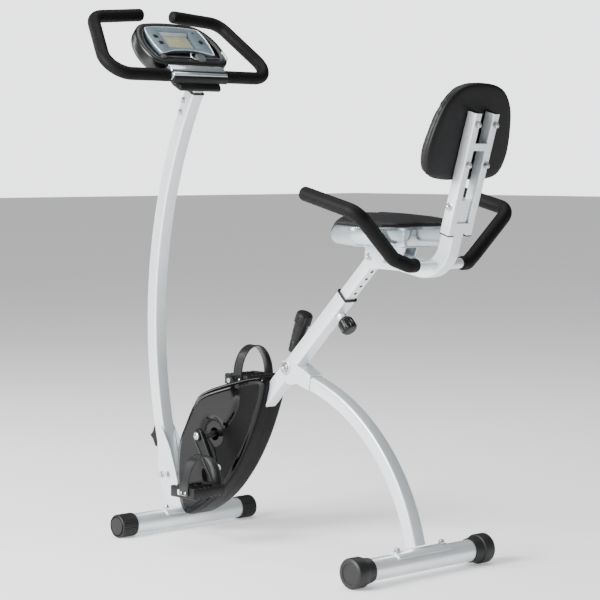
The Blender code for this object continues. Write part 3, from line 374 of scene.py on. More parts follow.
up_tube = np.array((math.cos(slope), 0, math.sin(slope)))
under_tube = np.array((math.sin(slope), 0, -math.cos(slope)))
collar = turn([(-0.001, 0.0105), (0.0095, 0.0105), (0.012, 0.009)], along(0.2, -0.0171), under_tube, 32)
tube_skin = carry(along(np.linspace(-0.49, 0.243, 3)), rounded(0.034, 0.034, 0.0042))
piece("square_main_tube", together(tube_skin, collar), "frame", silver_coat, ["main_tube"])
piece("main_tube_bush", carry(along(np.linspace(0.2432, 0.2475, 3)), rounded(0.0372, 0.0372, 0.005)), "frame",
      black_abs, ["sleeve_bush"])

# Height pin: a sprung steel pin with a fluted black knob, pulled out to free the seat post.
knob_profile = [(0.004, 0.0055), (0.012, 0.0055), (0.0124, 0.011), (0.016, 0.015), (0.02, 0.0172, 1),
                (0.03, 0.0176, 1), (0.039, 0.0178, 1), (0.0425, 0.017), (0.0455, 0.014), (0.046, 0.01)]
piece("fluted_height_knob", turn(knob_profile, along(0.2, -0.0173), under_tube, 120, 15, 0.0007),
      "height_pin", black_abs, ["height_knob"], 30)

# ---- Fold pivot and rear leg ----
# The leg is square tube drawn to an arc, held under the main tube by two bent cheeks on one large bolt,
# and locked open by a sprung pin. A saddle joins it to the rear foot, with bolts pulled up from below.
leg_arc = ((-0.055, -0.041), 0.441)
piece("bent_rear_leg", carry(arc(*leg_arc, 13.4, 78.0, 70), rounded(0.0336, 0.032, 0.0042)), "leg",
      silver_coat, ["rear_leg"])
carried_over("hinge_bracket", silver_coat)
carried_over("rear_foot_saddle", silver_coat)
rings = []
for side in (-1, 1):
    base = at(pivot[0], pivot[1], side * 0.0205)
    rings += [turn([(0, 0.0148), (0.0016, 0.0148), (0.002, 0.0142), (0.002, 0.01)], base, side * across, 48),
              bolt(base + side * across * 0.0018, side * across, 0.0075, 1.2, 0.9)]
shank = turn([(-0.0206, 0.0059), (0.0206, 0.0059)], at(*pivot), across, 24)
piece("fold_pivot_bolt", together(shank, *rings), "frame", zinc, ["pivot_bolt"])
profile = [(0.0173, 0.0045), (0.0246, 0.0045), (0.0248, 0.012), (0.03, 0.0124, 1), (0.045, 0.0136, 1),
           (0.049, 0.0128), (0.0506, 0.01)]
piece("fluted_fold_pin", turn(profile, along(-0.032), across, 96, 12, 0.0006), "fold_pin", black_abs,
      ["fold_lock_pin"], 30)

piece("rear_foot_bar", turn(bar_profile, rear_at, across, 64), "leg", silver_coat,
      ["rear_foot_tube"])
for side, word in sides:
    profile = [(0.2072, 0.01), (0.2072, 0.0205), (0.2088, 0.0218), (0.2088, 0.0272), (0.2068, 0.0312),
               (0.2045, 0.0326), (0.18, 0.0327), (0.1775, 0.0318), (0.1765, 0.0292), (0.154, 0.0266),
               (0.1532, 0.0258), (0.1532, 0.0242)]
    piece(f"rear_foot_faceted_cap_{word}", turn(profile, rear_at, side * across, 64), "leg", cap_rubber,
          [f"rear_foot_cap_{word}"], 25)
studs = [bolt(at(0.386, 0.06, y), (0, 0, 1), 0.0062, tall=1.1) for y in (-0.068, 0.068)]
piece("rear_saddle_bolts", together(*studs), "leg", zinc)

# ---- Resistance control ----
# A tapered black housing clipped on top of the main tube, carrying the knob that sets the brake: a grip
# with moulded flutes that turns three quarters of a turn.
dial_at, dial_axis = at(-0.0085, 0.447), np.array((math.sin(math.radians(25)), 0, math.cos(math.radians(25))))
profile = [(0.004, 0.0112), (0.03, 0.0134), (0.031, 0.0128), (0.0335, 0.0128), (0.0345, 0.0138),
           (0.07, 0.0164),
           (0.0738, 0.016)]
piece("resistance_housing", turn(profile, dial_at, dial_axis), "frame", black_abs,
      ["tension_housing"])
profile = [(0.0745, 0.015), (0.0748, 0.0176), (0.0765, 0.0188, 1), (0.095, 0.0186, 1), (0.099, 0.0176),
           (0.1012, 0.0152), (0.102, 0.011)]
piece("resistance_knob", turn(profile, dial_at, dial_axis, 144, 18, 0.0005), "resistance", black_abs,
      ["tension_knob"], 30)

# ---- Drive casing ----
# Two halves of injection-moulded ABS, polished black on the sides and matt on the edge band, screwed
# together round the main tube. The crank comes out through a dished hole in each side.
# Polished black ABS: deep, near-mirror, as it leaves a polished mould.
gloss_abs = finish("polished black ABS", "gloss_black", "#040405", "#030304", 0.09, 5.0, 0.006, 120, 0.02,
                   Coat_Weight=0.12,
                   Coat_Roughness=0.04, Specular_IOR_Level=0.22)
# The same plastic with a matt texture on the edge that is gripped and scuffed.
matt_abs = finish("textured charcoal ABS", "black_plastic", "#050506", "#040405", 0.42, 1.2, 0.05, 80,
                  Specular_IOR_Level=0.12)


def through(points, steps):
    """A closed curve through points: on each stretch a cubic whose end directions are half the step
    between the neighbours either side."""
    here = np.array(points, float)
    before, after, beyond = np.roll(here, 1, 0), np.roll(here, -1, 0), np.roll(here, -2, 0)
    u = np.linspace(0, 1, steps, endpoint=False)[:, None, None]
    curve = 0.5 * (2 * here + (after - before) * u + (2 * before - 5 * here + 4 * after - beyond) * u**2
                   + (3 * here - before - 3 * after + beyond) * u**3)
    return curve.transpose(1, 0, 2).reshape(-1, 2)


def inset(outline, distance):
    """An anticlockwise outline moved inwards, square to its own direction at each point."""
    ahead = np.roll(outline, -1, 0) - np.roll(outline, 1, 0)
    ahead /= np.linalg.norm(ahead, axis=1)[:, None]
    return outline + distance * np.stack([-ahead[:, 1], ahead[:, 0]], -1)


case_line = through([(-0.282, 0.337), (-0.314, 0.308), (-0.346, 0.256), (-0.369, 0.21), (-0.378, 0.144),
                     (-0.374, 0.088), (-0.356, 0.049), (-0.328, 0.042), (-0.27, 0.07), (-0.215, 0.112),
                     (-0.163, 0.17), (-0.122, 0.232), (-0.095, 0.286), (-0.072, 0.345), (-0.068, 0.385),
                     (-0.11, 0.385), (-0.195, 0.365)], 12)
crank_at = np.array((-0.24, 0.243))


def case_height(flat):
    """How far the casing's side stands out at (x, z): full on the front panel, sunk 7 mm behind a
    smooth S-shaped step that runs down from the top, and dished 5 mm round the crank."""
    x, z = flat[..., 0], flat[..., 1]
    bend = -0.165 - 0.42 * (0.375 - z) + 0.03 * np.sin((z - 0.25) * 26)
    step = 1 / (1 + np.exp(-(x - bend) / 0.0028))
    near = np.hypot(x - crank_at[0], z - crank_at[1])
    dish = 1 / (1 + np.exp((near - 0.04) / 0.0022))
    return 0.0398 - 0.007 * step * (1 - dish) - 0.0075 * dish


def case_half(side):
    """The band from the middle to the rounded edge as insets of the outline, then the side face as
    rings that close in from the outline to the crank hole, each at the height its place gives."""
    edge = [(0.0, 0.0002), (0.0, 0.012), (0.0, 0.024), (0.0002, 0.0285), (0.0015, 0.0325), (0.0042, 0.0352),
            (0.008, 0.0362)]
    rows = [np.insert(inset(case_line, by), 1, side * h, 1) for by, h in edge]
    outer = inset(case_line, 0.0105)
    spoke = outer - crank_at
    rim = crank_at + 0.0155 * spoke / np.linalg.norm(spoke, axis=1)[:, None]
    for share in np.linspace(0, 1, 44):
        flat = outer + (rim - outer) * share
        lift = np.clip(share / 0.06, 0, 1) ** 0.7
        rows.append(np.insert(flat, 1, side * (0.0366 + (case_height(flat) - 0.0366) * lift), 1))
    rows.append(np.insert(rim, 1, side * 0.0215, 1))
    loops = np.stack(rows)
    loops[..., 0] += feet_middle
    return skin(loops)


for side, word in sides:
    half = piece(f"drive_casing_{word}", case_half(side), "frame", gloss_abs,
                 [f"casing_{word}"], 50)
    half.data.materials.append(matt_abs)
    ends = np.zeros(len(half.data.polygons) * 3)
    half.data.polygons.foreach_get("center", ends)
    band = np.abs(ends.reshape(-1, 3)[:, 1]) < 0.0335
    band &= np.hypot(*(ends.reshape(-1, 3)[:, [0, 2]] - crank_at - (feet_middle, 0)).T) > 0.03
    half.data.polygons.foreach_set("material_index", band.astype(np.int32))

# ---- Drive inside the casing ----
# Cast flywheel, belt, pulley, bearings and the swinging brake magnet, all behind the covers: machined
# and plated parts that keep their CAD shapes.
iron = finish("painted cast iron", "cast_iron", "#1c1c1d", "#161617", 0.45, 1.5, 0.1, 40, Metallic=0.8)
nylon = finish("grey glass-filled nylon", "grey_plastic", "#5b5f62", "#282a2c", 0.45, 0.8, 0.03, 40)
for look, nodes in ((iron, ["flywheel"]), (nylon, ["drive_pulley"]), (cap_rubber, ["drive_belt"]),
                    (zinc, ["flywheel_axle", "crank_axle", "magnet_arm", "magnet_bracket",
                            "crank_bearing_left", "crank_bearing_right"]), (silver_coat, ["drive_mount"])):
    for node in nodes:
        carried_over(node, look)

# ---- Cranks and pedals ----
# Moulded black arms on the steel axle, each with a sunk panel, a plated cap over its bolt and a plated
# spindle. The pedals are open platforms of black nylon with toothed ends, and a pale glossy patch on each
# outer end is a painted highlight.
crank_long, crank_lean = 0.132, math.radians(57.8)


def block(low, high, edge=0.002):
    """A box whose upright corners are quarter circles and whose top and bottom edges are bevelled."""
    low, high = np.array(low, float), np.array(high, float)
    middle, size = (low + high) / 2, high - low
    plan = rounded(size[0], size[1], min(edge * 1.6, size[:2].min() / 2.1), 4)
    rows = [(edge, low[2]), (edge * 0.3, low[2] + edge * 0.3), (0.0, low[2] + edge),
            (0.0, high[2] - edge), (edge * 0.3, high[2] - edge * 0.3), (edge, high[2])]
    return skin(np.stack([np.insert(inset(plan, by) + middle[:2], 2, z, 1) for by, z in rows]))


def crank_arm(side, lean):
    """The outline round two circles of different radius, stacked as insets: rounded edges, flat faces,
    and a panel sunk 1.5 mm into the outer face."""
    end = crank_at + crank_long * np.array((math.cos(lean), -math.sin(lean)))
    half = np.linspace(0, np.pi, 20)
    plan = np.concatenate([crank_at + 0.0165 * np.stack([np.cos(half + np.pi / 2 - lean),
                                                        np.sin(half + np.pi / 2 - lean)], -1),
                           end + 0.0115 * np.stack([np.cos(half - np.pi / 2 - lean),
                                                    np.sin(half - np.pi / 2 - lean)], -1)])
    rows = [(0.0015, 0.074), (0.0, 0.0755), (0.0, 0.0842), (0.0006, 0.0854), (0.0018, 0.086),
            (0.005, 0.086), (0.006, 0.0846)]
    loops = np.stack([np.insert(inset(plan, by), 1, side * y, 1) for by, y in rows])
    loops[..., 0] += feet_middle
    return skin(loops), at(end[0], end[1])


pedal_nylon = finish("black glass-filled nylon", "black_plastic", "#0b0b0c", "#080809", 0.45, 0.9, 0.06, 25,
                     Specular_IOR_Level=0.35)
# Painted highlight: a pale glossy patch with a fine grain drawn at 1.5 mm, on each pedal's outer end.
pale_highlight_look = finish("pale painted highlight", "grey_plastic", "#e9ebe6", "#d8dad4", 0.15, 1.5, 0.25, 12,
                   Coat_Weight=1.0)
strap_rubber = finish("black strap rubber", "rubber", "#161617", "#101012", 0.38, 2.0, 0.05, 30)

for (side, word), lean in zip(sides, (crank_lean, crank_lean + math.pi)):
    arm, end = crank_arm(side, lean)
    piece(f"crank_arm_{word}", arm, "crank", black_abs, [f"crank_{word}"])
    outward = side * across
    hub = at(*crank_at)
    ring = turn([(0.0853, 0.0128), (0.088, 0.0128), (0.0888, 0.012), (0.0888, 0.01)], hub, outward)
    piece(f"crank_bolt_ring_{word}", ring, "crank", black_abs)
    dome = [(0.0872 + 0.0046 * math.sin(b), 0.0094 * math.cos(b)) for b in np.linspace(0, 1.5, 8)]
    spindle = turn([(0.084, 0.0076), (0.0945, 0.0076), (0.0945, 0.0058), (0.17, 0.0058)], end, outward)
    flats = turn([(0.0862, 0.0092), (0.09, 0.0092)], end, outward, 6)
    tip = turn([(0.072, 0.0058), (0.0745, 0.0062)], end, outward)
    piece(f"crank_bright_parts_{word}", together(turn(dome, hub, outward), spindle, flats, tip), "crank",
          zinc)

    px, py, pz = end[0], side * 0.143, end[2]
    parts = [turn([(py - 0.046, 0.0112), (py + 0.046, 0.0112)], (px, 0, pz), across, 32)]
    for sx in (-1, 1):
        parts.append(block((px + sx * 0.0355 - 0.007, py - 0.047, pz - 0.0105),
                           (px + sx * 0.0355 + 0.007, py + 0.047, pz + 0.0105), 0.0025))
        for y in np.linspace(-0.038, 0.038, 7):
            for sz in (-1, 1):
                parts.append(block((px + sx * 0.037 - 0.0045, py + y - 0.0028, pz + sz * 0.0112 - 0.0016),
                                   (px + sx * 0.037 + 0.0045, py + y + 0.0028, pz + sz * 0.0112 + 0.0012),
                                   0.0008))
    for low, high, tall in ((-0.0475, -0.036, 0.0125), (0.036, 0.0475, 0.0125), (-0.014, -0.0105, 0.009),
                            (0.0105, 0.014, 0.009)):
        parts.append(block((px - 0.041, py + low, pz - tall), (px + 0.041, py + high, pz + tall), 0.0016))
    piece(f"pedal_platform_{word}", together(*parts), f"pedal_{word}", pedal_nylon,
          [f"pedal_{word}"])
    # The pale patch on each pedal's outer end: a painted highlight.
    lens = block((-0.015, -0.0062, 0.0), (0.015, 0.0062, 0.0016), 0.0008)
    lens[0][:] = lens[0][:, [0, 2, 1]] * (1, side, 1) + (px, py + side * 0.047, pz)
    if side > 0:
        lens = (lens[0], [face[::-1] for face in lens[1]])
    piece(f"pedal_painted_highlight_{word}", lens, f"pedal_{word}", pale_highlight_look)

    # Strap: a moulded rubber band that buttons onto both ends of the pedal and arches over the shoe.
    swing = np.linspace(0, np.pi, 72)
    middle = np.stack([px + 0.01 + 0 * swing, py + 0.05 * np.cos(swing),
                       pz + 0.0085 + 0.072 * np.sin(swing)], -1)
    drop = np.linspace(-0.013, -0.001, 6)[:, None] * (0, 0, 1) + middle[0]
    rise = np.linspace(-0.001, -0.013, 6)[:, None] * (0, 0, 1) + middle[-1]
    band = np.array([(-0.015, -0.001), (-0.015, 0.001), (-0.0144, 0.0017), (-0.012, 0.0017),
                     (-0.0112, 0.001), (0.0112, 0.001), (0.012, 0.0017), (0.0144, 0.0017),
                     (0.015, 0.001), (0.015, -0.001), (0.0143, -0.0015), (-0.0143, -0.0015)])
    studs = []
    for end_y in (-1, 1):
        for x in (0.003, 0.017):
            studs.append(turn([(0.05, 0.0032), (0.0532, 0.0032), (0.054, 0.0022)],
                              (px + x, py, pz + 0.001), end_y * across, 20))
    strap = carry(np.concatenate([drop, middle, rise]), band, (1, 0, 0))
    piece(f"pedal_foot_strap_{word}", strap, f"pedal_{word}", strap_rubber,
          [f"pedal_strap_{word}"])
    piece(f"pedal_strap_studs_{word}", together(*studs), f"pedal_{word}", zinc)

# ---- Seat post and seat frame ----
# The inner post is square tube with a row of drilled holes for the height pin. Welded to its head, a
# bent tube runs back under the seat and turns up behind it, and a folded bracket carries the saddle.


def bend(corners, radii, steps=12):
    """Straight runs between corners, each corner rounded by an arc of its own radius: the arc's centre
    lies on the bisector, radius over the sine of half the corner's angle away."""
    corners = np.array(corners, float)
    points = [corners[:1]]
    for before, here, after, radius in zip(corners, corners[1:], corners[2:], radii):
        come = (before - here) / np.linalg.norm(before - here)
        leave = (after - here) / np.linalg.norm(after - here)
        half = math.acos(np.clip(come @ leave, -1, 1)) / 2
        middle = here + (come + leave) / np.linalg.norm(come + leave) * radius / math.sin(half)
        start = here + come * radius / math.tan(half) - middle
        end = here + leave * radius / math.tan(half) - middle
        span = math.pi - 2 * half
        share = np.linspace(0, 1, steps + 1)[:, None]
        arc = (np.sin((1 - share) * span) * start + np.sin(share * span) * end) / math.sin(span)
        points.append(middle + arc)
    points.append(corners[-1:])
    return np.concatenate(points)


def evenly(path, spacing):
    """The same path with points at a spacing along it, by linear interpolation of its length."""
    gone = np.insert(np.cumsum(np.linalg.norm(np.diff(path, axis=0), axis=1)), 0, 0)
    marks = np.linspace(0, gone[-1], max(3, int(gone[-1] / spacing)))
    return np.stack([np.interp(marks, gone, path[:, k]) for k in range(3)], -1)


back_slope = math.radians(73)


def back(s, n=0.0, y=0.0):
    """A point s up the backrest rails from their top and n behind their front faces."""
    s, n = np.asarray(s, float), np.asarray(n, float)
    return at(0.547 + s * math.cos(back_slope) + n * math.sin(back_slope),
              0.978 + s * math.sin(back_slope) - n * math.cos(back_slope), y)


behind = np.array((math.sin(back_slope), 0, -math.cos(back_slope)))

piece("sliding_seat_post", carry(along(np.linspace(0.065, 0.358, 3)), rounded(0.028, 0.028, 0.003)), "seat",
      silver_coat, ["seat_post"])
# Drilled holes, shown as dark discs a fraction proud of the tube's face: painted shade for the unlit inside
# of each bore.
bore_dark = finish("unlit inside of a bore", "black_plastic", "#050506", "#030304", 0.8, 1.0, 0.02, 10)
hole_shade_discs = [turn([(0.0, 0.004), (0.0003, 0.0038)], along(t, -0.014), under_tube, 24)
         for t in np.arange(0.08, 0.345, 0.0234)]
piece("seat_post_hole_shade", together(*hole_shade_discs), "seat", bore_dark)
frame_path = bend([at(0.2715, 0.6746), back(-0.3502, 0.004), back(-0.184, 0.004)], [0.062], 24)
piece("bent_seat_frame", carry(evenly(frame_path, 0.006), rounded(0.032, 0.036, 0.0045)), "seat", silver_coat,
      ["seat_frame"])
carried_over("seat_bracket", silver_coat)
fixings = [bolt(at(x, z, side * 0.0188), side * across, size) for side in (-1, 1)
           for x, z, size in ((0.252, 0.672, 0.0066), (0.3, 0.664, 0.0045))]
piece("seat_post_head_bolts", together(*fixings), "seat", zinc)

# ---- Saddle ----
# A moulded pan painted glossy silver, broad behind with a notch between its two lobes, holding a foam
# pad covered in black leather-grain vinyl that is stapled under the rim and swells above it.
seat_half = [(0.14, 0.0), (0.15, -0.034), (0.19, -0.062), (0.245, -0.092), (0.305, -0.118), (0.362, -0.122),
             (0.398, -0.096), (0.404, -0.058), (0.388, 0.0)]
seat_plan = through(seat_half + [(x, -y) for x, y in reversed(seat_half[1:-1])], 14)
pan_floor, pan_rim = 0.6985, 0.7405


def nose_dip(x):
    """How far the saddle's rim dips at x: 30 mm at the very front, as the square of the distance before
    the dip starts."""
    return 0.03 * np.maximum(0, (0.205 - x) / 0.065) ** 2


def seat_rows(layers):
    """Insets of the saddle's plan, each at its height less the nose's dip, which fades to none at the
    pan's floor; above the rim the rows also tilt up towards the front."""
    rows = []
    for by, z in layers:
        plan = inset(seat_plan, by)
        share = np.clip((z - pan_floor) / (pan_rim - pan_floor), 0, 1)
        crown = max(0.0, (z - pan_rim) / 0.026)
        rows.append(at(plan[:, 0], z - share * nose_dip(plan[:, 0]) + crown * 0.08 * (0.27 - plan[:, 0]),
                       plan[:, 1]))
    return np.stack(rows)


# Silver paint and clear lacquer over a moulding: glossy, with broad soft reflections.
silver_lacquer = finish("silver lacquer on moulded plastic", "silver_plastic", "#ccd6dc", "#bcc8d0", 0.2, 4.0,
                        0.01, 160,
                        Metallic=0.8, Coat_Weight=0.7, Coat_Roughness=0.1)
pan_layers = [(0.018, 0.6988), (0.0155, 0.6985), (0.012, 0.7), (0.0085, 0.7035), (0.0052, 0.7085),
              (0.0028, 0.715),
              (0.0012, 0.723), (0.0002, 0.732), (0.0002, 0.7375), (0.0012, 0.74), (0.003, 0.7405),
              (0.006, 0.7395)]
piece("silver_seat_pan", skin(seat_rows(pan_layers)), "seat", silver_lacquer, ["seat_pan"], 60)

# Leather-grain vinyl: pebbles about 2 mm across with creases between them, a satin black.
vinyl = finish("black leather-grain vinyl", "black_vinyl", "#121214", "#0e0e10", 0.44, 1.0, 0.03, 70, 0.04,
               Specular_IOR_Level=0.3)
tree = vinyl.node_tree
coordinates = next(found for found in tree.nodes if found.type == "TEX_COORD").outputs["Object"]
first_relief = next(found for found in tree.nodes if found.type == "BUMP")
pebbles = add_node(tree, "ShaderNodeTexVoronoi", {"Vector": coordinates, "Scale": 1000 / 2.2},
                   feature="DISTANCE_TO_EDGE")
creases = add_node(tree, "ShaderNodeMapRange", {"Value": pebbles.outputs["Distance"], "From Min": 0.0,
                   "From Max": 0.12})
leather = add_node(tree, "ShaderNodeBump", {"Height": creases.outputs["Result"], "Strength": 0.5,
                   "Distance": 0.0002, "Normal": first_relief.outputs["Normal"]})
tree.links.new(leather.outputs["Normal"], tree.nodes["Principled BSDF"].inputs["Normal"])


def swell(pad, held, most, pressure=4.0, voxel=0.005):
    """Blows a pad up as air would fill a bag of cloth: the mesh is remade in even cells, the points that
    `held` picks stay put, and after 20 frames each point keeps its travel up to `most` metres. One
    subdivision then smooths the result."""
    scene, graph = bpy.context.scene, bpy.context.evaluated_depsgraph_get()
    cells = pad.modifiers.new("cells", "REMESH")
    cells.mode, cells.voxel_size, cells.use_smooth_shade = "VOXEL", voxel, True
    graph.update()
    remade = bpy.data.meshes.new_from_object(pad.evaluated_get(graph))
    pad.modifiers.clear()
    look = pad.data.materials[0]
    pad.data = remade
    pad.data.materials.clear()
    pad.data.materials.append(look)
    start = np.zeros(len(remade.vertices) * 3)
    remade.vertices.foreach_get("co", start)
    start = start.reshape(-1, 3)
    fixed = pad.vertex_groups.new(name="held")
    fixed.add(np.flatnonzero(held(start)).tolist(), 1.0, "REPLACE")
    cloth = pad.modifiers.new("cloth", "CLOTH")
    cloth.settings.use_pressure, cloth.settings.uniform_pressure_force = True, pressure
    cloth.settings.effector_weights.gravity = 0
    cloth.settings.vertex_group_mass = "held"
    cloth.settings.quality = 5
    for moment in range(1, 21):
        scene.frame_set(moment)
    graph = bpy.context.evaluated_depsgraph_get()
    blown = pad.evaluated_get(graph).to_mesh()
    end = np.zeros(len(start) * 3)
    blown.vertices.foreach_get("co", end)
    move = end.reshape(-1, 3) - start
    far = np.linalg.norm(move, axis=1)[:, None]
    move *= np.minimum(1, most / np.maximum(far, 1e-9))
    pad.modifiers.clear()
    pad.vertex_groups.clear()
    scene.frame_set(1)
    remade.vertices.foreach_set("co", (start + move).ravel())
    remade.update()
    remade.shade_smooth()
    smooth = pad.modifiers.new("smooth", "SUBSURF")
    smooth.levels = smooth.render_levels = 1


pad_layers = [(0.02, 0.738), (0.0075, 0.7385), (0.004, 0.7415), (0.003, 0.745), (0.0042, 0.7495),
              (0.008, 0.7535), (0.014, 0.756), (0.023, 0.7575), (0.033, 0.758)]
saddle_pad = piece("vinyl_saddle_pad", skin(seat_rows(pad_layers)), "seat", vinyl, ["seat_pad"], 60)
swell(saddle_pad, lambda p: p[:, 2] < 0.7425 - nose_dip(p[:, 0] - feet_middle), 0.009)
welt = seat_rows([(0.0022, 0.7412)])[0]
piece("saddle_welt", carry(np.concatenate([welt[-1:], welt]), circle(0.0016, 10), (0, 0, 1)), "seat", vinyl)

# ---- Backrest ----
# Two square rails bolted either side of the seat frame's end, joined by a crossbar and a plate, carry a
# moulded black shell; a foam pad in leather-grain vinyl is stretched over the shell's front.
rail_sides, rail_half = (-0.02675, 0.02675), 0.013
rails = [carry(back(np.linspace(-0.258, 0.0, 3), rail_half, y), rounded(0.0185, 0.026, 0.003))
         for y in rail_sides]
plates = [carry(back(np.array((low, (low + high) / 2, high)), 0.0252), rounded(0.038, 0.0035, 0.0008))
          for low, high in ((-0.077, -0.062), (-0.254, -0.232))]
piece("backrest_rails", together(*rails, *plates), "seat", silver_coat, ["back_frame"])
plugs = [carry(back(np.array((-0.2606, -0.2595, -0.258)), rail_half, y), rounded(0.019, 0.0265, 0.003))
         for y in rail_sides]
mouths = [carry(back(np.array((0.0, 0.0002, 0.0004)), rail_half, y), rounded(0.015, 0.0225, 0.002))
          for y in rail_sides]
piece("backrest_rail_plugs", together(*plugs, *mouths), "seat", black_abs)
nuts = [bolt(back(s, 0.026, y), behind, 0.0062, 1.2, 1.2) for s in (-0.022, -0.107) for y in rail_sides]
nuts += [bolt(back(-0.2, 0.012, side * 0.036), side * across, 0.0066) for side in (-1, 1)]
piece("backrest_nuts", together(*nuts), "seat", zinc)

back_plan = through([(0.0, 0.102), (-0.06, 0.092), (-0.096, 0.058), (-0.114, 0.006), (-0.12, -0.05),
                     (-0.104, -0.09), (-0.06, -0.102), (0.0, -0.102), (0.06, -0.102), (0.104, -0.09),
                     (0.12, -0.05), (0.114, 0.006), (0.096, 0.058), (0.06, 0.092)], 14) + (0.0, -0.046)


def back_rows(layers):
    """Insets of the backrest's outline, each at its distance behind the rails' front faces."""
    return np.stack([back(plan[:, 1], n, plan[:, 0]) for plan,
                     n in ((inset(back_plan, by), n) for by, n in layers)])


shell_abs = finish("black moulded shell", "black_plastic", "#0b0b0d", "#09090a", 0.48, 1.4, 0.07, 120,
                   Specular_IOR_Level=0.25)
piece("moulded_back_shell", skin(back_rows([(0.018, -0.0004), (0.009, -0.0005), (0.005, -0.0012),
      (0.0022, -0.0026), (0.0006, -0.0048), (0.0, -0.0075), (0.0004, -0.0092)])), "seat", shell_abs,
      ["back_shell"], 60)
pad_rows = back_rows([(0.01, -0.0085), (0.0022, -0.009), (0.0008, -0.012), (0.0006, -0.018), (0.002, -0.024),
                      (0.006, -0.029), (0.014, -0.0325), (0.028, -0.0345), (0.045, -0.035)])
backrest_pad = piece("vinyl_backrest_pad", skin(pad_rows), "seat", vinyl, ["back_pad"], 60)
rail_front = back(0.0)
swell(backrest_pad, lambda p: (p - rail_front) @ behind > -0.0125, 0.008)

# ---- Side handles ----
# One bent steel bar goes through the seat frame; each side carries a sleeve of black closed-cell foam
# with rounded ends.
# Closed-cell foam: matt near-black skin with pores, drawn at 1.2 mm so that they show.
foam = finish("black closed-cell foam", "black_foam", "#070607", "#050506", 0.6, 1.2, 0.1, 45, 0.06,
              Specular_IOR_Level=0.16)


def grip(corners, radii, radius):
    """A foam sleeve along a bent path, its ends rounded off: the size follows a quarter circle over the
    first and last radius / 2."""
    path = evenly(bend(corners, radii), 0.0025)
    gone = np.insert(np.cumsum(np.linalg.norm(np.diff(path, axis=0), axis=1)), 0, 0)
    near = np.minimum(gone, gone[-1] - gone) / (radius * 0.5)
    size = 0.72 + 0.28 * np.sqrt(np.clip(1 - (1 - np.clip(near, 0, 1)) ** 2, 0, 1))
    return carry(path, circle(radius, 32), (0, 0, 1), size)


def mirrored(half, side):
    """The same points with y multiplied by side, which is -1 for the other hand."""
    return [np.array(point) * (1, side, 1) for point in half]


side_half = [at(0.4365, 0.6625, 0.088), at(0.4245, 0.6765, 0.122), at(0.43, 0.772, 0.23),
             at(0.274, 0.81, 0.23)]
bar = bend([*mirrored(side_half, -1)[::-1], *side_half], [0.03, 0.02, 0.02, 0.02, 0.02, 0.03])
piece("bent_side_bar", carry(evenly(bar, 0.004), circle(0.011, 24), (0, 0, 1)), "seat", silver_coat,
      ["side_handle_bar"])
for side, word in sides:
    tip = side_half[3] + 0.004 * (side_half[3] - side_half[2]) / np.linalg.norm(side_half[3] - side_half[2])
    corners = mirrored([at(0.4365, 0.6625, 0.066), *side_half[:3], tip], side)
    piece(f"side_foam_grip_{word}", grip(corners, [0.02, 0.02, 0.03], 0.0152), "seat", foam,
          [f"side_grip_{word}"])

# ---- Handlebar ----
# One bent steel bar held by the clamp, its horns rising forward and turning in towards each other,
# sleeved in the same foam from the clamp to the tips.
bar_half = [at(-0.345, 1.077, 0.258), at(-0.4855, 1.2135, 0.193), at(-0.487, 1.2245, 0.05)]
bar = bend([*mirrored(bar_half, -1)[::-1], *bar_half], [0.04, 0.05, 0.05, 0.04])
piece("bent_handlebar", carry(evenly(bar, 0.004), circle(0.011, 24), (0, 0, 1)), "frame", silver_coat,
      ["handlebar"])
for side, word in sides:
    tip = bar_half[2] + 0.004 * (bar_half[2] - bar_half[1]) / np.linalg.norm(bar_half[2] - bar_half[1])
    corners = mirrored([at(-0.345, 1.077, 0.07), *bar_half[:2], tip], side)
    piece(f"handlebar_foam_grip_{word}", grip(corners, [0.05, 0.04], 0.0152), "frame", foam,
          [f"handlebar_grip_{word}"])

# ---- Handlebar clamp ----
# A black block bolted to the stem cradles the bar, and a silver cover with a black line between its two
# bands closes over it.
face_slope = math.radians(43.6)


def face(y, s, n=0.0):
    """A point of the console's face: y across, s up from its lower edge, n out of it."""
    y, s, n = (np.asarray(v, float) for v in (y, s, n))
    return at(-0.331 - s * math.cos(face_slope) + n * math.sin(face_slope),
              1.09 + s * math.sin(face_slope) + n * math.cos(face_slope), y)


def bar_of(profile, half, edge=0.002):
    """A (s, n) profile carried across from -half to half, drawn in at both ends for a rounded edge."""
    profile = np.array(profile, float)
    if (profile[:, 0] * np.roll(profile[:, 1], -1) - profile[:, 1] * np.roll(profile[:, 0], -1)).sum() < 0:
        profile = profile[::-1]
    rows = [(-half, edge), (-half + edge * 0.3, edge * 0.3), (-half + edge, 0.0), (half - edge, 0.0),
            (half - edge * 0.3, edge * 0.3), (half, edge)]
    return skin(np.stack([face(y, *inset(profile, by).T) for y, by in rows]))


lobes = np.linspace(0, 1, 14)
upper_lobe = [(0.0168 - 0.0215 * u, -0.0035 + 0.0058 * math.sin(math.pi * (0.12 + 0.8 * u)) ** 0.6)
              for u in lobes]
lower_lobe = [(-0.007 - 0.01 * u, -0.0038 + 0.0046 * math.sin(math.pi * (0.12 + 0.76 * u)) ** 0.6)
              for u in lobes]
cover = bar_of([(0.0168, -0.0185), *upper_lobe, *lower_lobe, (-0.0178, -0.006), (-0.018, -0.0185)], 0.082)
piece("silver_clamp_cover", cover, "frame", silver_lacquer, ["clamp_cover"], 50)
line = bar_of([(-0.0042, -0.01), (-0.0042, 0.0004), (-0.0074, 0.0002), (-0.0074, -0.01)], 0.0824, 0.0003)
lip = bar_of([(-0.0176, -0.0186), (-0.0176, -0.0035), (-0.0205, -0.003), (-0.0235, -0.0055),
              (-0.0255, -0.011),
              (-0.026, -0.0186)], 0.0824, 0.001)
piece("clamp_black_line", together(line, lip), "frame", black_abs)
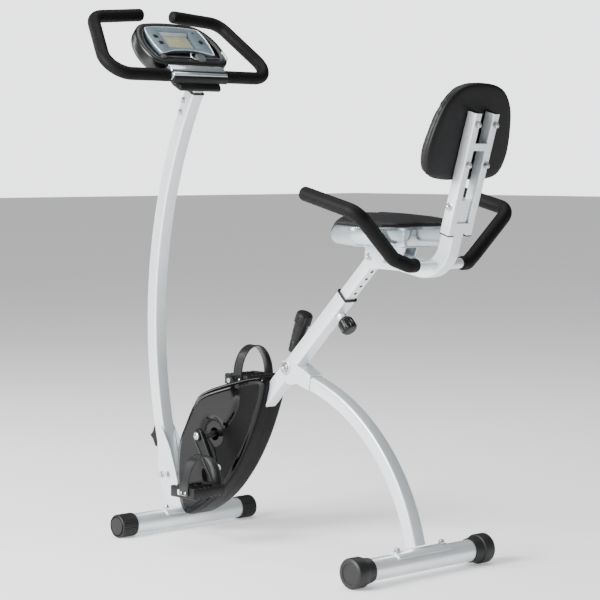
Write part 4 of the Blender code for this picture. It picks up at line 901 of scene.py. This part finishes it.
block_profile = [(-0.027, -0.019), (-0.0375, -0.0245), (-0.039, -0.0285), (-0.037, -0.0335), (-0.01, -0.0415),
                 (0.002, -0.042), (0.006, -0.0405), (0.0165, -0.03), (0.0165, -0.019)]
piece("lower_clamp_block", bar_of(block_profile, 0.062, 0.003), "frame", black_abs,
      ["clamp_lower"])

# ---- Console ----
# A two-part black shell screwed to the clamp; its front carries a blue-grey plate edged by a light
# bezel, a sunk liquid-crystal display and three buttons, over a black trough with its small fittings.
console_half = [(0.06, 0.019), (0.088, 0.02), (0.111, 0.033), (0.122, 0.06), (0.124, 0.088), (0.119, 0.115),
                (0.105, 0.142), (0.083, 0.16), (0.044, 0.167)]
console_plan = through(console_half + [(0.0, 0.169)] + [(-y, s) for y, s in reversed(console_half)], 14)
shell_rows = [(0.034, -0.044), (0.024, -0.0438), (0.016, -0.0425), (0.01, -0.0395), (0.005, -0.0345),
              (0.0015, -0.029),
              (0.0, -0.023), (0.0, -0.008), (0.0004, -0.003), (0.0018, 0.0000), (0.0045, 0.0018),
              (0.008, 0.0022),
              (0.015, 0.0016), (0.0195, 0.0004), (0.0205, -0.001), (0.0208, -0.008)]
shell_loops = np.stack([face(plan[:, 0], plan[:, 1], n) for plan, n in
                        ((inset(console_plan, by), n) for by, n in shell_rows)])
console_abs = finish("black console ABS", "black_plastic", "#0b0b0c", "#08080a", 0.3, 1.0, 0.04, 70)
piece("console_shell", skin(shell_loops), "frame", console_abs, ["console_case"], 60)

# Blue-grey satin plate: metallic paint printed on the moulding.
plate_paint = finish("blue-grey metallic paint", "grey_plastic", "#7f919b", "#64757f", 0.34, 2.0, 0.01, 60,
                     Metallic=0.45,
                     Coat_Weight=0.3)
bezel_paint = finish("light silver bezel paint", "grey_plastic", "#dbe3e7", "#c9d3d8", 0.3, 2.0, 0.01, 40,
                     Metallic=0.4)
plate_half = [(0.04, 0.064), (0.074, 0.0545), (0.0805, 0.056), (0.0845, 0.074), (0.0865, 0.096),
              (0.086, 0.12),
              (0.0815, 0.1385), (0.074, 0.144), (0.04, 0.148)]
plate_plan = through(plate_half + [(0.0, 0.1492)] + [(-y, s) for y,
                                                     s in reversed(plate_half)] + [(0.0, 0.0675)], 12)
window_middle, window_half = np.array((0.0, 0.104)), np.array((0.045, 0.028))
reach = plate_plan - window_middle
window_plan = window_middle + reach * np.min(window_half / np.maximum(np.abs(reach), 1e-6), axis=1)[:, None]
plate_loops = [face(*inset(plate_plan, 0.0012).T, -0.0085), face(*plate_plan.T, -0.006),
               face(*plate_plan.T, 0.002),
               face(*inset(plate_plan, 0.0008).T, 0.003)]
for share in np.linspace(0.05, 1, 8):
    ring = plate_plan + (window_plan - plate_plan) * share
    plate_loops.append(face(*ring.T, 0.003 + 0.0008 * math.sin(math.pi * share)))
plate_loops.append(face(*window_plan.T, -0.0075))
piece("console_plate", skin(np.stack(plate_loops)), "frame", plate_paint, ["console_face"], 40)
edge_line = face(*inset(plate_plan, 0.0002).T, 0.003)
piece("console_bezel", carry(np.concatenate([edge_line, edge_line[:1]]), circle(0.0014, 10), up_tube),
      "frame",
      bezel_paint)

# Liquid-crystal display: a plain olive grey cell, switched off, sunk behind the plate.
cell = finish("olive liquid-crystal cell", "display", "#a3a285", "#97967b", 0.35, 0.6, 0.01, 18)
screen = bar_of([(0.079, -0.0074), (0.1262, -0.0074), (0.1262, -0.0052), (0.079, -0.0052)], 0.041, 0.0003)
piece("display_cell", screen, "frame", cell, ["lcd_window"])
# A black strip over the lower wall of the display's recess: painted shade inside the recess, laid over the
# plate that forms the wall.
wall = bar_of([(0.076, -0.0074), (0.0792, -0.0074), (0.0792, -0.003), (0.076, -0.003)], 0.0449, 0.0002)
piece("display_painted_shade_wall", wall, "frame", console_abs)
# A light strip in the bezel's paint over the upper wall of the display's recess: a painted highlight,
# standing for that wall lit from above.
painted_highlight_wall = bar_of([(0.1262, -0.0074), (0.1318, -0.0074), (0.1318, 0.0016), (0.1262, -0.0046)], 0.043,
                    0.0002)
piece("display_painted_highlight_wall", painted_highlight_wall, "frame", bezel_paint)

face_out = np.array((math.sin(face_slope), 0, math.cos(face_slope)))
buttons = (("mode", "mode_button", -0.066, 0.112, rounded(0.013, 0.01, 0.002)),
           ("set", "set_button", -0.062, 0.09, rounded(0.013, 0.01, 0.002)),
           ("reset", "reset_button", 0.064, 0.098, circle(0.0065, 40)))
for body, node, y, s, plan in buttons:
    rows = [(0.0, -0.001), (0.0, 0.0044), (0.0004, 0.0052), (0.0012, 0.0056), (0.0028, 0.0054)]
    loops = np.stack([face(*(inset(plan, by) + (y, s)).T, n) for by, n in rows])
    piece(f"{body}_key", skin(loops), body, black_abs, [node])
lamp = turn([(-0.001, 0.0024), (0.0042, 0.0024), (0.0048, 0.0016)], face(0.058, 0.131), face_out, 24)
piece("console_sensor_dot", lamp, "frame", black_abs)

# Trough under the plate: a rod across it in two lengths, a half-round catch, and a pale plated arc partly on
# the catch that is a painted highlight.
rods = [carry(face(np.linspace(low, high, 3), 0.045, -0.001), circle(0.0022, 20), face_out)
        for low, high in ((-0.072, 0.014), (0.04, 0.094))]
piece("console_trough_rods", together(*rods), "frame", nylon)
stud = turn([(-0.004, 0.007), (0.003, 0.007), (0.004, 0.006)], face(-0.08, 0.042), face_out, 32)
catch = turn([(-0.004, 0.0145), (0.0045, 0.0145), (0.006, 0.0128)], face(0.03, 0.041), face_out, 48)
piece("console_catch", together(stud, catch), "frame", nylon)
# A pale zinc arc laid partly over the grey catch: a painted highlight on its rounded face.
swing = np.linspace(math.radians(100), math.radians(330), 30)
highlight_arc = face(0.014 + 0.011 * np.cos(swing), 0.045 + 0.011 * np.sin(swing), 0.0035)
piece("console_painted_highlight_arc", carry(highlight_arc, circle(0.0018, 12), face_out), "frame", zinc)
end_clip = carry(face(0.112, np.linspace(0.04, 0.066, 12), 0.003 + 0.0015 * np.sin(np.linspace(0, 3.1, 12))),
                 rounded(0.006, 0.004, 0.0015), across)
piece("console_end_clip", end_clip, "frame", bezel_paint)
